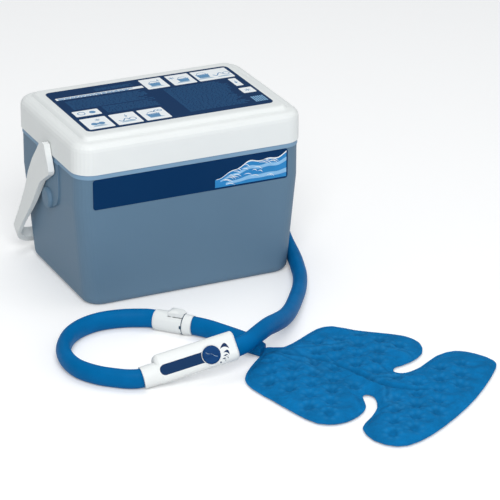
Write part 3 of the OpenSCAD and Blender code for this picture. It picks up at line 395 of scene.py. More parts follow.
def foamed(name, code, cell_scale=700):
    """Rigid foam: open cells from scattered points, dark in the middle of each."""
    f = Finish(name)
    base = colour(code)
    cell = f.cells(cell_scale)
    f.feed("Base Color", f.mix(cell.ramp(0.0, 0.6), shade(base, 0.75), base))
    f.feed("Roughness", cell * 0.1 + 0.85)
    f.feed("Normal", f.bump(cell, 0.0004))
    return f


def hose_skin(name, code):
    """The closed skin of the foam sleeve: smooth and slightly glossy, with slow dents where it was
    gripped and faint pores."""
    f = Finish(name, Specular_IOR_Level=0.05)
    base = colour(code)
    slow, fine = f.noise(30, 3), f.noise(1500, 3, 0.65)
    pores = f.cells(900).ramp(0.05, 0.25)
    tone = (slow * 0.5 + fine * 0.5).ramp(0.25, 0.75)
    f.feed("Base Color", f.mix(tone, shade(base, 0.86), shade(base, 1.12)))
    f.feed("Roughness", fine * 0.15 + 0.42)
    f.feed("Normal", f.bump(pores, 0.00005, f.bump(slow, 0.0008)))
    return f


def knit(name, code, highlight_code):
    """Brushed knit: rows of small loops, a product of two sines, give a fine weave, and longer
    clouds the nap that has been stroked one way or the other. Painted shade darkens it where the
    attribute named press is high, in the welds, and a painted highlight makes it pale on the
    raised tufts and the banks of the folds."""
    f = Finish(name, Specular_IOR_Level=0.1)
    base = colour(code)
    loop_pitch = 0.0011
    across, along = (f.axis(axis) * (2 * pi / loop_pitch) for axis in ("X", "Y"))
    loops = across.math("SINE") * along.math("SINE") * 0.5 + 0.5
    fuzz, nap = f.noise(2600, 3, 0.7), f.noise(42, 4, 0.62)
    tone = (nap * 0.7 + fuzz * 0.3).ramp(0.3, 0.7)
    cloth = f.mix(tone, shade(base, 0.84), shade(base, 1.18))
    # painted shade: the cloth darkens to 0.42 of its colour where press is high, in the welds, folds and
    # channel
    crease_shaded = f.mix(f.attribute("press") * 0.75, cloth, shade(base, 0.42))
    # painted highlight: a paler blue where the fabric rises, on the tufts and the banks of the folds
    f.feed("Base Color", f.mix(f.attribute("ridge_highlight") * 0.3, crease_shaded, colour(highlight_code)))
    f.feed("Roughness", fuzz * 0.12 + 0.8)
    f.feed("Normal", f.bump(loops * 0.5 + fuzz * 0.5, 0.00018, f.bump(nap, 0.0012)))
    return f


# %% One finish for each material of the frame
finishes = {
    "shell_plastic": tub_plastic("grey_blue_shell", "5f7c93", "86a9c6"),
    "lid_plastic": moulded("white_lid", "e8ebea", 0.45, variation=0.02, Specular_IOR_Level=0.3),
    "liner_plastic": moulded("liner_white", "e4e6e4", 0.35, variation=0.02),
    "label_film": moulded("navy_film", "03305a", 0.45, 0.000008, variation=0.06, Specular_IOR_Level=0.08),
    "insulation_foam": foamed("insulation_foam", "e8dcb4"),
    "stud_plastic": moulded("grey_studs", "b9bfc3", 0.35),
    "pump_plastic": moulded("black_pump", "1e2226", 0.4),
    "strainer_plastic": moulded("pale_inner_plastic", "d3d8da", 0.4),
    "seal_rubber": moulded("black_seals", "15171a", 0.7),
    "stator_copper": metal("copper_windings", "b8693a", 0.35, (1, 1, 30)),
    "shaft_steel": metal("ground_steel", "c4c9cd", 0.22),
    "magnet_ferrite": moulded("ferrite", "33373b", 0.6),
    "bush_brass": metal("sintered_bronze", "b8904c", 0.4),
    "screw_steel": metal("screw_steel", "c9ced2", 0.28),
    "clear_tube": moulded("soft_tube", "cfe0e6", 0.2, Transmission_Weight=0.5),
    "hose_fitting_plastic": moulded("blue_fitting", "0f4f96", 0.4),
    "inlet_plastic": moulded("black_inlet", "16181b", 0.4),
    "lead_rubber": moulded("black_lead", "141619", 0.55),
    "hose_foam": hose_skin("hose_foam_skin", "0066a2"),
    "knob_plastic": moulded("dark_blue_knob", "0a3c70", 0.5, Specular_IOR_Level=0.08),
    "pad_fabric": knit("pad_knit", "046da8", "3f93c8"),
}
for row in frame["record"]["subparts"]:
    finishes[row["material_slot"]].put_on(nodes[row["node"]])
finishes["hose_foam"].put_on(main_hose, loop_hose, pad_hose)
print("finishes:", len(finishes))

# %% [markdown]
# ## The therapy pad
# Two sheets of brushed fabric are welded together round the edge, at a grid of dots and along a
# line from the neck, and water fills what lies between. The welds hold the sheets down and the
# rest swells, so the fabric puckers towards every dot. That is what a cloth simulation with
# pressure does: the two sheets are meshed flat, the welds are pinned, and the pressure shapes
# the rest. The outline is read from the frame's own solid, so the pad lies where that lies.

# %% Outline of the pad
pad_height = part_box("therapy_pad")[1][2]
rim_height = 0.44 * pad_height
mesh_pitch = 0.0042


def loop_at(node, height):
    """The closed loop of a node's edges that lies at one height, as ordered points."""
    bm = bmesh.new()
    bm.from_mesh(nodes[node].data)
    bmesh.ops.remove_doubles(bm, verts=bm.verts, dist=1e-6)
    level = [e for e in bm.edges if all(abs(v.co.z - height) < 1e-5 for v in e.verts)]
    joined = {}
    for edge in level:
        a, b = edge.verts
        joined.setdefault(a, []).append(b)
        joined.setdefault(b, []).append(a)
    first = max(joined, key=lambda v: v.co.x)
    walk, last = [first], None
    while True:
        here = walk[-1]
        onward = [v for v in joined[here] if v is not last]
        last = here
        if onward[0] is first:
            break
        walk.append(onward[0])
    points = np.array([v.co[:2] for v in walk])
    bm.free()
    return points


def every(points, step):
    """A closed outline as points that lie step apart along it."""
    closed = np.vstack([points, points[:1]])
    along = np.concatenate([[0], np.cumsum(np.linalg.norm(np.diff(closed, axis=0), axis=1))])
    where = np.linspace(0, along[-1], int(along[-1] / step), endpoint=False)
    return np.stack([np.interp(where, along, closed[:, k]) for k in range(2)], -1)


def off_line(points, line):
    """Each point's distance from a line of points: the least over its pieces, where the nearest
    spot on a piece is the foot of the perpendicular, kept between the piece's two ends."""
    a, b = line[:-1][None], line[1:][None]
    p, d = points[:, None], b - a
    t = np.clip(((p - a) * d).sum(-1) / (d * d).sum(-1), 0, 1)[..., None]
    return np.linalg.norm(p - a - t * d, axis=-1).min(1)


def within(points, outline):
    """True for points inside a closed outline: a ray to the right crosses it an odd number of
    times."""
    a, b = outline[None], np.roll(outline, -1, axis=0)[None]
    x, y = points[:, None, 0], points[:, None, 1]
    spans = (a[..., 1] > y) != (b[..., 1] > y)
    rise = np.where(b[..., 1] == a[..., 1], 1, b[..., 1] - a[..., 1])
    cross = a[..., 0] + (y - a[..., 1]) / rise * (b[..., 0] - a[..., 0])
    return (spans & (x < cross)).sum(1) % 2 == 1


def doubled_area(outline):
    """Twice the area inside a flat outline, above zero where the outline runs anticlockwise."""
    x, y = outline[:, 0], outline[:, 1]
    return (x * np.roll(y, -1) - np.roll(x, -1) * y).sum()


pad_ring = every(loop_at("therapy_pad", rim_height), mesh_pitch)
closed_ring = np.vstack([pad_ring, pad_ring[:1]])
print("pad outline:", len(pad_ring), "points,", round(len(pad_ring) * mesh_pitch, 2), "m round")


# %% Weld dots and welded lines
def drawn_line(points):
    """The smooth line on the floor through a few flat points."""
    return curve_through([p + (0,) for p in points], 0.004)[0][:, :2]


dot_pitch, row_share = 0.031, 0.87
dot_start = (0.090, -0.318)
dot_off_edge, dot_off_line = 0.018, 0.009
column, line_no = np.meshgrid(np.arange(-6, 9), np.arange(0, 15))
dot_x = dot_pitch * (column + (line_no % 2) / 2) + dot_start[0]
dot_y = dot_start[1] - dot_pitch * row_share * line_no
dots = np.stack([dot_x, dot_y], -1).reshape(-1, 2)
dots = dots[within(dots, pad_ring)]
dots = dots[off_line(dots, closed_ring) > dot_off_edge]
centre_line = drawn_line([(0.012, -0.3415), (0.033, -0.3685), (0.063, -0.404), (0.082, -0.452),
                          (0.094, -0.484), (0.115, -0.513), (0.143, -0.527)])
dots = dots[off_line(dots, centre_line) > dot_off_line]
wrinkles = [drawn_line(points) for points in (
    [(0.008, -0.336), (0.041, -0.350), (0.078, -0.358), (0.112, -0.362)],
    [(0.002, -0.340), (0.020, -0.372), (0.034, -0.402), (0.040, -0.424)],
    [(0.031, -0.343), (0.041, -0.381), (0.042, -0.408)],
    [(0.088, -0.470), (0.120, -0.476), (0.150, -0.470)],
    [(0.096, -0.500), (0.082, -0.530), (0.086, -0.556)],
    [(0.150, -0.392), (0.168, -0.420), (0.176, -0.446)])]
print("weld dots:", len(dots), "wrinkles:", len(wrinkles))

# %% Two flat sheets
edge_room = 0.6 * mesh_pitch
inner_x = np.arange(pad_ring[:, 0].min(), pad_ring[:, 0].max(), mesh_pitch)
inner_y = np.arange(pad_ring[:, 1].min(), pad_ring[:, 1].max(), mesh_pitch * 0.866)
gx, gy = np.meshgrid(inner_x, inner_y)
gx = gx + mesh_pitch / 2 * (np.arange(len(inner_y)) % 2)[:, None]
inner = np.stack([gx, gy], -1).reshape(-1, 2)
inner = inner[within(inner, pad_ring)]
inner = inner[off_line(inner, closed_ring) > edge_room]
edge_count = len(pad_ring)
edges = [(k, (k + 1) % edge_count) for k in range(edge_count)]
cut = delaunay_2d_cdt([Vector(p) for p in np.vstack([pad_ring, inner])], edges, [], 1, 1e-6)
flat = np.array([tuple(v) for v in cut[0]])
triangles = np.array([f for f in cut[2] if len(f) == 3])
a, b, c = (flat[triangles[:, k]] for k in range(3))
turn = (b[:, 0] - a[:, 0]) * (c[:, 1] - a[:, 1]) - (b[:, 1] - a[:, 1]) * (c[:, 0] - a[:, 0])
triangles[turn < 0] = triangles[turn < 0][:, ::-1]
print("sheet:", len(flat), "points,", len(triangles), "triangles")

# %% Lay the sheets
crown_height, crown_reach = 0.0066, 0.011
dot_depth, dot_reach = 0.0030, 0.0080
line_depth, line_reach = 0.0018, 0.0060
edge_lift, edge_reach = 0.0022, 0.006
floor_gap, least_gap = 0.0004, 0.0012
edge_gap = off_line(flat, closed_ring)
dot_gap = np.linalg.norm(flat[:, None] - dots[None], axis=-1).min(1)
line_gap = off_line(flat, centre_line)
crown = crown_height * (1 - np.exp(-(edge_gap / crown_reach) ** 1.3))
dent = dot_depth * np.exp(-(dot_gap / dot_reach) ** 2) + line_depth * np.exp(-(line_gap / line_reach) ** 2)
rise = np.maximum(crown - np.minimum(dent, 0.8 * crown), 0)
underside = edge_lift * np.exp(-(edge_gap / edge_reach) ** 2) + floor_gap
top = np.column_stack([flat, np.maximum(underside + least_gap, edge_lift + rise)])
bottom = np.column_stack([flat, underside])
count = len(flat)
rim = [[k, (k + 1) % edge_count, count + (k + 1) % edge_count, count + k] for k in range(edge_count)]
rim = [f[::-1] if doubled_area(pad_ring) > 0 else f for f in rim]
pad = put_mesh("quilted_pad", np.vstack([top, bottom]),
               triangles.tolist() + (triangles[:, ::-1] + count).tolist() + rim)
print("pad:", len(pad.data.vertices), "points,", round(top[:, 2].max() * 1000, 1), "mm high")


# %% Fill the pad
def swell(piece, pinned, pressure, frames, cap, shrink):
    """Cloth under pressure, with the pinned points held, stepped from frame 1 and then applied.
    No point moves further than cap."""
    group = piece.vertex_groups.new(name="weld")
    group.add([int(k) for k in np.flatnonzero(pinned)], 1.0, "REPLACE")
    rest = np.empty(3 * len(piece.data.vertices))
    piece.data.vertices.foreach_get("co", rest)
    cloth = piece.modifiers.new("fill", "CLOTH")
    s = cloth.settings
    s.quality = 6
    s.mass = 0.15
    s.tension_stiffness = s.compression_stiffness = 12
    s.shear_stiffness = 4
    s.bending_stiffness = 0.15
    s.use_pressure = True
    s.uniform_pressure_force = pressure
    s.shrink_min = shrink
    s.vertex_group_mass = "weld"
    s.effector_weights.gravity = 0
    cloth.point_cache.frame_end = frames
    for number in range(1, frames + 1):
        scene.frame_set(number)
    shaped = piece.evaluated_get(bpy.context.evaluated_depsgraph_get()).to_mesh()
    moved = np.empty_like(rest)
    shaped.vertices.foreach_get("co", moved)
    piece.modifiers.remove(cloth)
    piece.vertex_groups.remove(group)
    scene.frame_set(1)
    rest, step = rest.reshape(-1, 3), (moved - rest).reshape(-1, 3)
    far = np.linalg.norm(step, axis=1, keepdims=True)
    return rest + step * np.minimum(1, cap / np.maximum(far, 1e-9))


highest = pad_height + 0.002
dot_radius, line_half = 0.0028, 0.0022
held = (edge_gap < 1e-5) | (dot_gap < dot_radius) | (line_gap < line_half)
points = swell(pad, np.concatenate([held, held]), pressure=2.5, frames=20, cap=0.004, shrink=-0.03)
points[:, 2] = np.clip(points[:, 2], floor_gap, highest)
pad.data.vertices.foreach_set("co", points.ravel())
pad.data.update()
print("pad filled to", round(points[:, 2].max() * 1000, 1), "mm")

# %% [markdown]
# The simulation gives the swelling, but its points lie too far apart for the welds themselves.
# So the pad is divided once more, and the welds are pressed in by formula: each dot is a round
# dent with a steep wall and a low raised ring round it, and the fabric runs to it in small tufts.
# The same formulas are kept on the points, where they paint shade into the dents, folds and
# channel, and a highlight onto the tufts and the banks of the folds.

# %% Divide the pad
finer = pad.modifiers.new("smooth", "SUBSURF")
finer.levels = finer.render_levels = 1
smooth = bpy.data.meshes.new_from_object(pad.evaluated_get(bpy.context.evaluated_depsgraph_get()))
pad.modifiers.clear()
pad.data = smooth
pad.data.name = "quilted_pad"
spots = np.empty(3 * len(smooth.vertices))
smooth.vertices.foreach_get("co", spots)
spots = spots.reshape(-1, 3)
ground = spots[:, :2]
print("divided to", len(spots), "points")


# %% Press the welds in
def bell(distance, width, centre=0.0):
    """1 at the centre distance, falling off to both sides as a bell of the given width."""
    return np.exp(-((distance - centre) / width) ** 2)


wrinkle_width, channel_width, bank_width = 0.0026, 0.0034, 0.004
dent_radius = 0.0052
wall_radius, wall_width = 0.0050, 0.0022
tuft_radius, tuft_width, tufts_round, tuft_turn = 0.0100, 0.0032, 7, 1.7
bank_off = 1.6
edge_fade, top_from, top_fade = 0.012, 0.0045, 0.002
to_dots = ground[:, None] - dots[None]
dot_gaps = np.linalg.norm(to_dots, axis=-1)
nearest = dot_gaps.argmin(1)
dot_gap = dot_gaps.min(1)
way = to_dots[np.arange(len(ground)), nearest]
angle = np.arctan2(way[:, 1], way[:, 0])
wrinkle_gaps = [off_line(ground, line) for line in wrinkles]
folds = bell(np.min(wrinkle_gaps, axis=0), wrinkle_width)
fold_banks = np.max([bell(gap, wrinkle_width, bank_off * wrinkle_width) for gap in wrinkle_gaps], axis=0)
line_gap = off_line(ground, centre_line)
channel = bell(line_gap, channel_width)
channel_banks = bell(line_gap, bank_width, bank_off * bank_width)
disc_dent = np.exp(-(dot_gap / dent_radius) ** 3)
# painted shade in the steep wall round each dot, heavier on each dot's far side
wall_shade = bell(dot_gap, wall_width, wall_radius) * (0.6 + 0.4 * np.sin(angle))
disc_ridge = bell(dot_gap, tuft_width, tuft_radius)
gathers = np.cos(tufts_round * angle + tuft_turn * nearest)
inside_edge = np.clip(off_line(ground, closed_ring) / edge_fade, 0, 1)
upper = np.clip((spots[:, 2] - top_from) / top_fade, 0, 1)
lift = 0.0005 * disc_ridge * (1 + gathers) + 0.0003 * fold_banks + 0.0006 * channel_banks
sink = 0.0024 * disc_dent + 0.0008 * folds + 0.0020 * channel
spots[:, 2] = np.clip(spots[:, 2] + inside_edge * upper * (lift - sink), floor_gap, highest)
smooth.vertices.foreach_set("co", spots.ravel())
smooth.polygons.foreach_set("use_smooth", [True] * len(smooth.polygons))
print("pad:", len(smooth.vertices), "points, top at", round(spots[:, 2].max() * 1000, 1), "mm")

# %% Keep the welds on the points and hand the pad over
# painted shade: press darkens the cloth in the dent walls, the dents, the folds and the channel
press = 0.42 * wall_shade + 0.25 * disc_dent + 0.3 * folds + 0.75 * channel
# painted highlight: the second attribute pales the tufts and the banks of the folds
ridge_highlight = 0.6 * disc_ridge * (0.5 + 0.5 * gathers) + 0.4 * fold_banks
for name, amount in (("press", press), ("ridge_highlight", ridge_highlight)):
    kept = np.clip(amount, 0, 1) * inside_edge
    smooth.attributes.new(name, "FLOAT", "POINT").data.foreach_set("value", kept)
    print(name, "from", round(kept.min(), 2), "to", round(kept.max(), 2))
smooth.update()
finishes["pad_fabric"].put_on(pad)
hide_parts("therapy_pad")
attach(pad, "pad")

# %% [markdown]
# ## Printed labels
# The lid carries a navy label with pale instruction panels. The front label is a navy field that
# runs out into a pattern of waves at the right, and the regulator shows the flow as crescents
# that grow. Ink is a layer with an edge, so each printed shape is a thin closed slab on the film.
# A ray straight through the drawing finds the surface under each point, so one function prints on
# any piece. The panels hold plain drawings: a cooler, a hose, a pad, flakes and arrows. Rows of
# small bars stand for lines of print.


# %% Flat shapes, in millimetres
def arc(centre, radius, start, stop, count=14):
    """Points round part of a circle, from start to stop in half turns."""
    a = np.linspace(start * pi, stop * pi, count)
    return np.stack([centre[0] + radius * np.cos(a), centre[1] + radius * np.sin(a)], -1)


def round_box(x0, y0, x1, y1, r):
    """A rectangle whose four corners are quarter circles of radius r."""
    corners = [((x1 - r, y1 - r), 0), ((x0 + r, y1 - r), 0.5), ((x0 + r, y0 + r), 1), ((x1 - r, y0 + r), 1.5)]
    return np.vstack([arc(c, r, s, s + 0.5, 5) for c, s in corners])


def disc(x, y, r, count=20):
    """A filled circle."""
    return arc((x, y), r, 0, 2 - 2 / count, count)


def stroke(points, width):
    """A line of the given width through points: each point moved half the width to either side,
    square to the line there."""
    p = np.asarray(points, float)
    along = unit(np.gradient(p, axis=0))
    out = np.stack([-along[:, 1], along[:, 0]], -1) * width / 2
    return np.vstack([p + out, (p - out)[::-1]])


def wavy(x0, x1, y, height, waves, count=40):
    """Points of a sine wave."""
    x = np.linspace(x0, x1, count)
    return np.stack([x, y + height * np.sin((x - x0) / (x1 - x0) * waves * 2 * pi)], -1)


def turned(shape, angle):
    """A shape turned clockwise about the origin."""
    return shape @ np.array([[cos(angle), sin(angle)], [-sin(angle), cos(angle)]])


def crescent(x, y, width, rise, thick, angle=0.0, count=12):
    """A shape between two arches over one base: both fall off as 1 - t squared to the base's two
    ends, the outer one from rise and the inner one from rise - thick. Then it is turned."""
    t = np.linspace(-1, 1, count)
    outer = np.stack([t * width / 2, -rise * (1 - t**2)], -1)
    inner = np.stack([t * width / 2, -(rise - thick) * (1 - t**2)], -1)[1:-1]
    return turned(np.vstack([outer, inner[::-1]]), angle) + (x, y)


# %% Print on a surface
def printed_on(node, origin, right, outward):
    """Gives the function that carries flat millimetres (x to the right, y down, height out of the
    film) to a node's surface: the spot on the plane through origin goes back along outward until
    it meets the node."""
    mesh = nodes[node].data
    surface = BVHTree.FromPolygons([v.co for v in mesh.vertices], [list(p.vertices) for p in mesh.polygons])
    origin, right, outward = (np.asarray(v, float) for v in (origin, right, outward))
    down = np.cross(right, outward)
    start_off = 0.02

    def place(x, y, height):
        spots = origin + (x[:, None] * right + y[:, None] * down) / 1000
        met = [surface.ray_cast(Vector(s + start_off * outward), Vector(-outward))[0] for s in spots]
        return np.array(met) + height / 1000 * outward
    return place


def ink(name, outlines, place, low, high, body, finish):
    """One piece that holds a slab for each outline, from low to high out of the film."""
    points, faces, start = [], [], 0
    for outline in outlines:
        n = len(outline)
        outline = outline if doubled_area(outline) < 0 else outline[::-1]
        points += [place(outline[:, 0], outline[:, 1], height) for height in (low, high)]
        k = np.arange(n)
        side = np.stack([start + k, start + (k + 1) % n, start + n + (k + 1) % n, start + n + k], -1)
        faces += side.tolist() + [(start + n + k).tolist(), (start + k[::-1]).tolist()]
        start += 2 * n
    piece = put_mesh(name, np.vstack(points), faces, smooth=False)
    finish.put_on(piece)
    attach(piece, body)
    print(name, "holds", len(outlines), "shapes")


# %% Inks
def ink_finish(name, code, variation=0.03, clouds=40):
    """Screen print: nearly matt, with a slight change of tone."""
    return moulded(name, code, 0.5, 0.000004, 1800, clouds, variation, Specular_IOR_Level=0.15)


white_ink = ink_finish("white_ink", "eef2f4", 0.015)
mid_ink = ink_finish("mid_blue_ink", "5f8fb8", 0.12)
grey_ink = ink_finish("grey_blue_ink", "a9c0d2", 0.1)
dim_ink = ink_finish("dim_blue_ink", "265a87", 0.08)
sky_ink = ink_finish("sky_blue_ink", "2f86c4", 0.18, 60)
pale_ink = ink_finish("pale_blue_ink", "8fc0e6", 0.12, 90)
sunk, on_film, over_first, over_second, mark_height = -0.05, 0.06, 0.12, 0.18, 0.15
print("inks lie", on_film, over_first, "and", over_second, "mm out of the film")

# %% Panels of the lid label
lid_low, lid_high = (np.array(c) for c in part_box("lid_label"))
label_w, label_d = (lid_high - lid_low)[:2] * 1000
on_lid = printed_on("lid_label", (lid_low[0], lid_high[1], lid_high[2]), (1, 0, 0), (0, 0, 1))
panels = {
    "lift": (0.50, 0.035, 0.62, 0.28),
    "fill": (0.645, 0.035, 0.77, 0.28),
    "plug": (0.785, 0.035, 0.98, 0.28),
    "dial": (0.025, 0.52, 0.16, 0.65),
    "wrap": (0.02, 0.71, 0.155, 0.965),
    "press": (0.173, 0.71, 0.305, 0.965),
    "rest": (0.323, 0.71, 0.455, 0.965),
    "hour": (0.925, 0.32, 0.965, 0.51),
    "dry": (0.915, 0.57, 0.985, 0.70),
}
title_bar = (0.02, 0.165, 0.49, 0.215)


def panel_box(u0, v0, u1, v1, r=1.6):
    """A panel given as shares of the label's width and depth."""
    return round_box(u0 * label_w, v0 * label_d, u1 * label_w, v1 * label_d, r)


print("lid label:", round(label_w), "by", round(label_d), "mm with", len(panels), "panels")


# %% Drawings in the panels
def cooler_icon(x, y, s):
    """A cooler seen from the front: a tub, the lid above it and a bail handle."""
    brim, foot = y - 0.3 * s, y + 0.8 * s
    tub = np.array([(x - s, brim), (x + s, brim), (x + 0.85 * s, foot), (x - 0.85 * s, foot)])
    cover = round_box(x - 1.08 * s, y - 0.62 * s, x + 1.08 * s, y - 0.36 * s, 0.4)
    return [tub, cover, stroke(arc((x, y - 0.6 * s), 0.8 * s, 1.05, 1.95), 0.8)]


def ring_icon(x, y, r, width):
    """A circle drawn as two half strokes."""
    return [stroke(arc((x, y), r, 0, 1), width), stroke(arc((x, y), r, 1, 2), width)]


def dot_icon(x, y, r):
    """A filled circle."""
    return [disc(x, y, r)]


def hose_icon(x, y, s):
    """A hose that winds to a round plug."""
    return [stroke(wavy(x - s, x + 0.4 * s, y, 0.4 * s, 1), 1.5)] + ring_icon(x + 0.85 * s, y, 0.42 * s, 1)


def pad_icon(x, y, s):
    """A pad with two lobes and a waist."""
    return [disc(x - 0.6 * s, y, 0.5 * s), disc(x + 0.6 * s, y, 0.5 * s),
            round_box(x - 0.12 * s, y - 0.28 * s, x + 0.12 * s, y + 0.28 * s, 0.3)]


def arrow_icon(x, y, s, way=-1):
    """A stem with a solid head, up or down."""
    head = np.array([(x - 0.5 * s, y), (x, y + way * 0.9 * s), (x + 0.5 * s, y)])
    return [stroke([(x, y - way * s), (x, y)], 0.8), head]


def flake_icon(x, y, s):
    """Three strokes through one point, a sixth of a turn apart."""
    return [stroke([(x - s * cos(a), y - s * sin(a)), (x + s * cos(a), y + s * sin(a))], 0.7)
            for a in (pi / 2, pi / 6, 5 * pi / 6)]


def shade_icon(x, y, width, rise):
    """A crescent that shades a drawing's foot."""
    return [crescent(x, y, width, rise, rise)]


def in_panels(icons):
    """The shapes of many icons, each at so many millimetres right of and below the middle of its
    panel, and with its own sizes."""
    made = []
    for icon, name, right, down, *size in icons:
        u0, v0, u1, v1 = panels[name]
        made += icon((u0 + u1) / 2 * label_w + right, (v0 + v1) / 2 * label_d + down, *size)
    return made


drawings = in_panels([
    (cooler_icon, "lift", 0, 3, 8), (arrow_icon, "lift", 9, -9, 4),
    (cooler_icon, "fill", 3, 3, 8), (flake_icon, "fill", -11, -9, 4.5),
    (cooler_icon, "plug", -14, 0, 9), (hose_icon, "plug", 11, 2, 11),
    (ring_icon, "dial", -8, 0, 5, 1.2), (dot_icon, "dial", 8, 0, 4.5),
    (pad_icon, "wrap", 0, 3, 9), (flake_icon, "wrap", 4, -10, 4),
    (hose_icon, "press", -1, 4, 11), (arrow_icon, "press", 3, -9, 4.5, 1),
    (cooler_icon, "rest", -2, 4, 9), (hose_icon, "rest", 6, -10, 7),
    (arrow_icon, "hour", 0, 0, 5, 1), (flake_icon, "dry", 0, 0, 4.5)])
shades = in_panels([(shade_icon, name, 0, 13, 22, 6) for name in ("lift", "fill", "wrap", "press", "rest")])
shades += in_panels([(shade_icon, "plug", -14, 12, 26, 5), (shade_icon, "plug", 14, 13, 24, 4)])
print("drawings:", len(drawings), "shapes and", len(shades), "shades")

# %% Rows of print
rng = np.random.default_rng(7)


def word_rows(u0, u1, v0, v1, pitch=3.2, height=1.3):
    """Rows of small bars with gaps between them, as print looks from a step away."""
    bars = []
    for y in np.arange(v0 * label_d, v1 * label_d, pitch):
        x, last = u0 * label_w, (u1 - rng.uniform(0, 0.16) * (u1 - u0)) * label_w
        while x < last - 3:
            wide = min(rng.uniform(3, 10), last - x)
            bars.append(round_box(x, y, x + wide, y + height, 0.2))
            x += wide + 1.0
    return bars


title_words = word_rows(0.03, 0.48, 0.178, 0.205, 3.6, 2.2)
lid_words = word_rows(0.05, 0.48, 0.265, 0.485) + word_rows(0.19, 0.48, 0.50, 0.66)
lid_words += word_rows(0.565, 0.90, 0.33, 0.93) + word_rows(0.25, 0.47, 0.07, 0.12)
patch = [round_box(x, y, x + 2.2, y + 1.8, 0.3) for x in np.arange(0.92, 0.985, 0.0115) * label_w
         for y in np.arange(0.80, 0.93, 0.0165) * label_d]
boxes = [panel_box(*p) for p in panels.values()] + [panel_box(*title_bar, 1.0)]
ink("lid_panels", boxes, on_lid, sunk, on_film, "lid", white_ink)
ink("lid_shades", shades, on_lid, 0, over_first, "lid", grey_ink)
ink("lid_drawings", drawings + title_words, on_lid, 0, over_second, "lid", mid_ink)
ink("lid_print", lid_words, on_lid, sunk, on_film, "lid", dim_ink)
ink("lid_patch", patch, on_lid, sunk, on_film, "lid", pale_ink)

# %% Waves on the front label
front_low, front_high = (np.array(c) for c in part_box("front_label"))
front_w, front_h = (front_high - front_low)[[0, 2]] * 1000
on_front = printed_on("front_label", (front_low[0], front_low[1], front_high[2]), (1, 0, 0), (0, -1, 0))
wave_start, wave_end, label_rim = 0.62 * front_w, front_w - 2.0, 2.0


def wave_crest(x, share):
    """Height of the water's edge below the label's top: it climbs to the right, and two sines of
    different length roll over it. share lowers it towards the label's foot."""
    t = (x - wave_start) / (wave_end - wave_start)
    top = 0.66 - 0.56 * t**0.6 + 0.07 * np.sin(9 * t + 0.4) + 0.035 * np.sin(23 * t)
    return np.clip(front_h * (top + (1 - top) * share), label_rim, front_h - label_rim - 0.5)


def wave_band(low, high, offset):
    """The water between two shares of the way down."""
    x = np.linspace(wave_start + offset, wave_end, 60)
    foot = np.maximum(wave_crest(x, high), wave_crest(x, low) + 0.4)
    return np.vstack([np.stack([x, wave_crest(x, low)], -1), np.stack([x, foot], -1)[::-1]])


def foam_streaks(count, rise, thick, spread):
    """Crescents that lie along the water at random spots, and none past the label's foot."""
    made = []
    for _ in range(count):
        x = rng.uniform(wave_start + 12, wave_end - 14)
        y = wave_crest(np.array([x]), rng.uniform(0.05, spread))[0] + 0.8
        wide = rng.uniform(7, 18)
        if y < front_h - label_rim - 1:
            made.append(crescent(x, y + rise * 0.3, wide, rise, thick, rng.uniform(0.1, 0.5)))
    return made


foam = foam_streaks(26, 2.6, 0.9, 0.8) + [wave_band(0, 0.05, 2)]
swell_bands = [wave_band(0.22, 0.36, 8), wave_band(0.62, 0.78, 16)]
ink("front_water", [wave_band(0, 0.99, 0)], on_front, sunk, on_film, "base", sky_ink)
ink("front_swell", swell_bands, on_front, 0, over_first, "base", pale_ink)
ink("front_foam", foam, on_front, 0, over_second, "base", white_ink)

# %% Marks on the regulator
knob_low, knob_high = (np.array(c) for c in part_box("flow_knob"))
knob_middle = (knob_low + knob_high) / 2
face_right, face_out = regulator_axes[:, 0], regulator_axes[:, 2]
on_regulator = printed_on("regulator_cover", knob_middle, face_right, face_out)
on_knob = printed_on("flow_knob", knob_middle, face_right, face_out)


def round_knob(angle, radius):
    """The spot at an angle, anticlockwise from the right in degrees, and a radius from the knob's
    middle."""
    return radius * cos(radians(angle)), -radius * sin(radians(angle))


flow_marks = [(7, 19.1, 12, 14), (-13, 19.7, 8.4, 36), (-27, 19.2, 7.4, 40), (-39, 18, 5.6, 44)]
crescents = [crescent(*round_knob(angle, radius), width, 0.62 * width, 0.4 * width, radians(slant))
             for angle, radius, width, slant in flow_marks]
off_mark = disc(*round_knob(-53, 15.8), 1.1)
knob_wave = turned(stroke(wavy(-8, 8, 0, 0.5, 1.5), 0.5), radians(33))
navy_ink = ink_finish("navy_ink", "0a2c56")
ink("flow_crescents", crescents + [off_mark], on_regulator, sunk, mark_height, "base", navy_ink)
ink("knob_line", [knob_wave], on_knob, sunk, mark_height, "knob", grey_ink)

# %% [markdown]
# ## Seam of the coupling
# Where the plug's collar meets the socket the two edges are rounded, and the line between them
# looks dark. A thin ring of painted shadow lies in that line, and two short bands of the same
# painted shade in the socket's edge stand for the notches where its halves are clipped together.

# %% Seam ring and notches
socket_end = 0.0424
notch_start, notch_width = socket_end - 0.0032, 0.0022
# painted shadow: one dark colour for the seam line and the two notches
seam_shadow_paint = ink_finish("seam_shadow", "3c5468")


def ring_band(name, start, width, radius, thick, first=0.0, last=2.0):
    """A flat band round the coupling's axis: the four corners of a small rectangle, carried from
    one angle to another, in half turns from the level direction."""
    a = np.linspace(first * pi, last * pi, 73)[:, None]
    x = start + width * np.array([0, 0, 1, 1]) + 0 * a
    r = radius - thick * np.array([1, 0, 0, 1])
    local = np.stack([x, r * np.cos(a), r * np.sin(a)], -1)
    piece = put_tube(name, np.array(coupling_place) + local @ coupling_axes.T)
    seam_shadow_paint.put_on(piece)
    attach(piece, "base")
    print(name, "is", round(width * 1000, 1), "mm wide")


ring_band("coupling_seam", socket_end - 0.0010, 0.0010, 0.01412, 0.0003)
ring_band("clip_notch_middle", notch_start, notch_width, 0.01415, 0.0004, 0.94, 1.04)
ring_band("clip_notch_low", notch_start, notch_width, 0.01415, 0.0004, 1.24, 1.34)

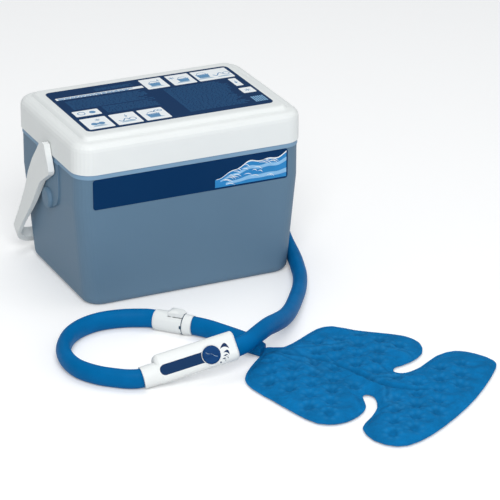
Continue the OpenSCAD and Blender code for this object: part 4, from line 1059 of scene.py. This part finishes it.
# %% [markdown]
# ## Floor and light
# The picture is a catalogue cut-out on white. A pale floor keeps the shadow, and where the
# camera looks straight at the floor or the background it sees white. A broad lamp to the front
# and left models the forms, and weaker ones open the shadows.

# %% Floor
floor_size = 6.0
corners = [(x * floor_size, y * floor_size, 0) for x, y in ((-1, -1), (1, -1), (1, 1), (-1, 1))]
floor = put_mesh("floor", corners, [(0, 1, 2, 3)], smooth=False)
paper = Finish("floor_paper", Base_Color=(0.86, 0.86, 0.86, 1), Roughness=0.9)
seen = paper.either_ray("Camera", "Glossy", "Transmission")
glow = paper.node("Emission", {}, {"Color": (1, 1, 1, 1), "Strength": seen * 0.22})
both = paper.node("AddShader", {}, {0: paper.shader.outputs[0], 1: glow.outputs[0]})
paper.tree.links.new(both.outputs[0], paper.output.inputs["Surface"])
paper.put_on(floor)
print("floor:", 2 * floor_size, "m wide")

# %% Background
sky_strength = 0.36
world = bpy.data.worlds.new("studio")
world.use_nodes = True
sky = Graph(world.node_tree)
lit = sky.node("Background", {}, {"Color": (0.93, 0.97, 1.0, 1), "Strength": sky_strength})
white = sky.node("Background", {}, {"Color": (1, 1, 1, 1), "Strength": 1.0})
seen = sky.either_ray("Camera", "Transmission")
pick = sky.node("MixShader", {}, {0: seen, 1: lit.outputs[0], 2: white.outputs[0]})
sky.node("OutputWorld", {}, {"Surface": pick.outputs[0]})
scene.world = world
scene.view_settings.view_transform = "Standard"
print("background: white, and lights the object at", sky_strength)


# %% Lamps
def lamp(name, place, aim, size, watts):
    """A square area lamp at place that faces aim."""
    light = bpy.data.lights.new(name, "AREA")
    light.size = size
    light.energy = watts
    thing = bpy.data.objects.new(name, light)
    facing = (Vector(aim) - Vector(place)).to_track_quat("-Z", "Y").to_matrix().to_4x4()
    thing.matrix_world = Matrix.Translation(place) @ facing
    scene.collection.objects.link(thing)
    print(name, watts, "W")


lamp("key", (-1.1, -2.9, 2.6), (0, -0.1, 0.1), 1.8, 92)
lamp("fill", (2.6, -1.8, 1.6), (0, -0.2, 0.1), 2.2, 12)
lamp("top", (0.2, 0.6, 3.2), (0, 0, 0.1), 2.0, 24)
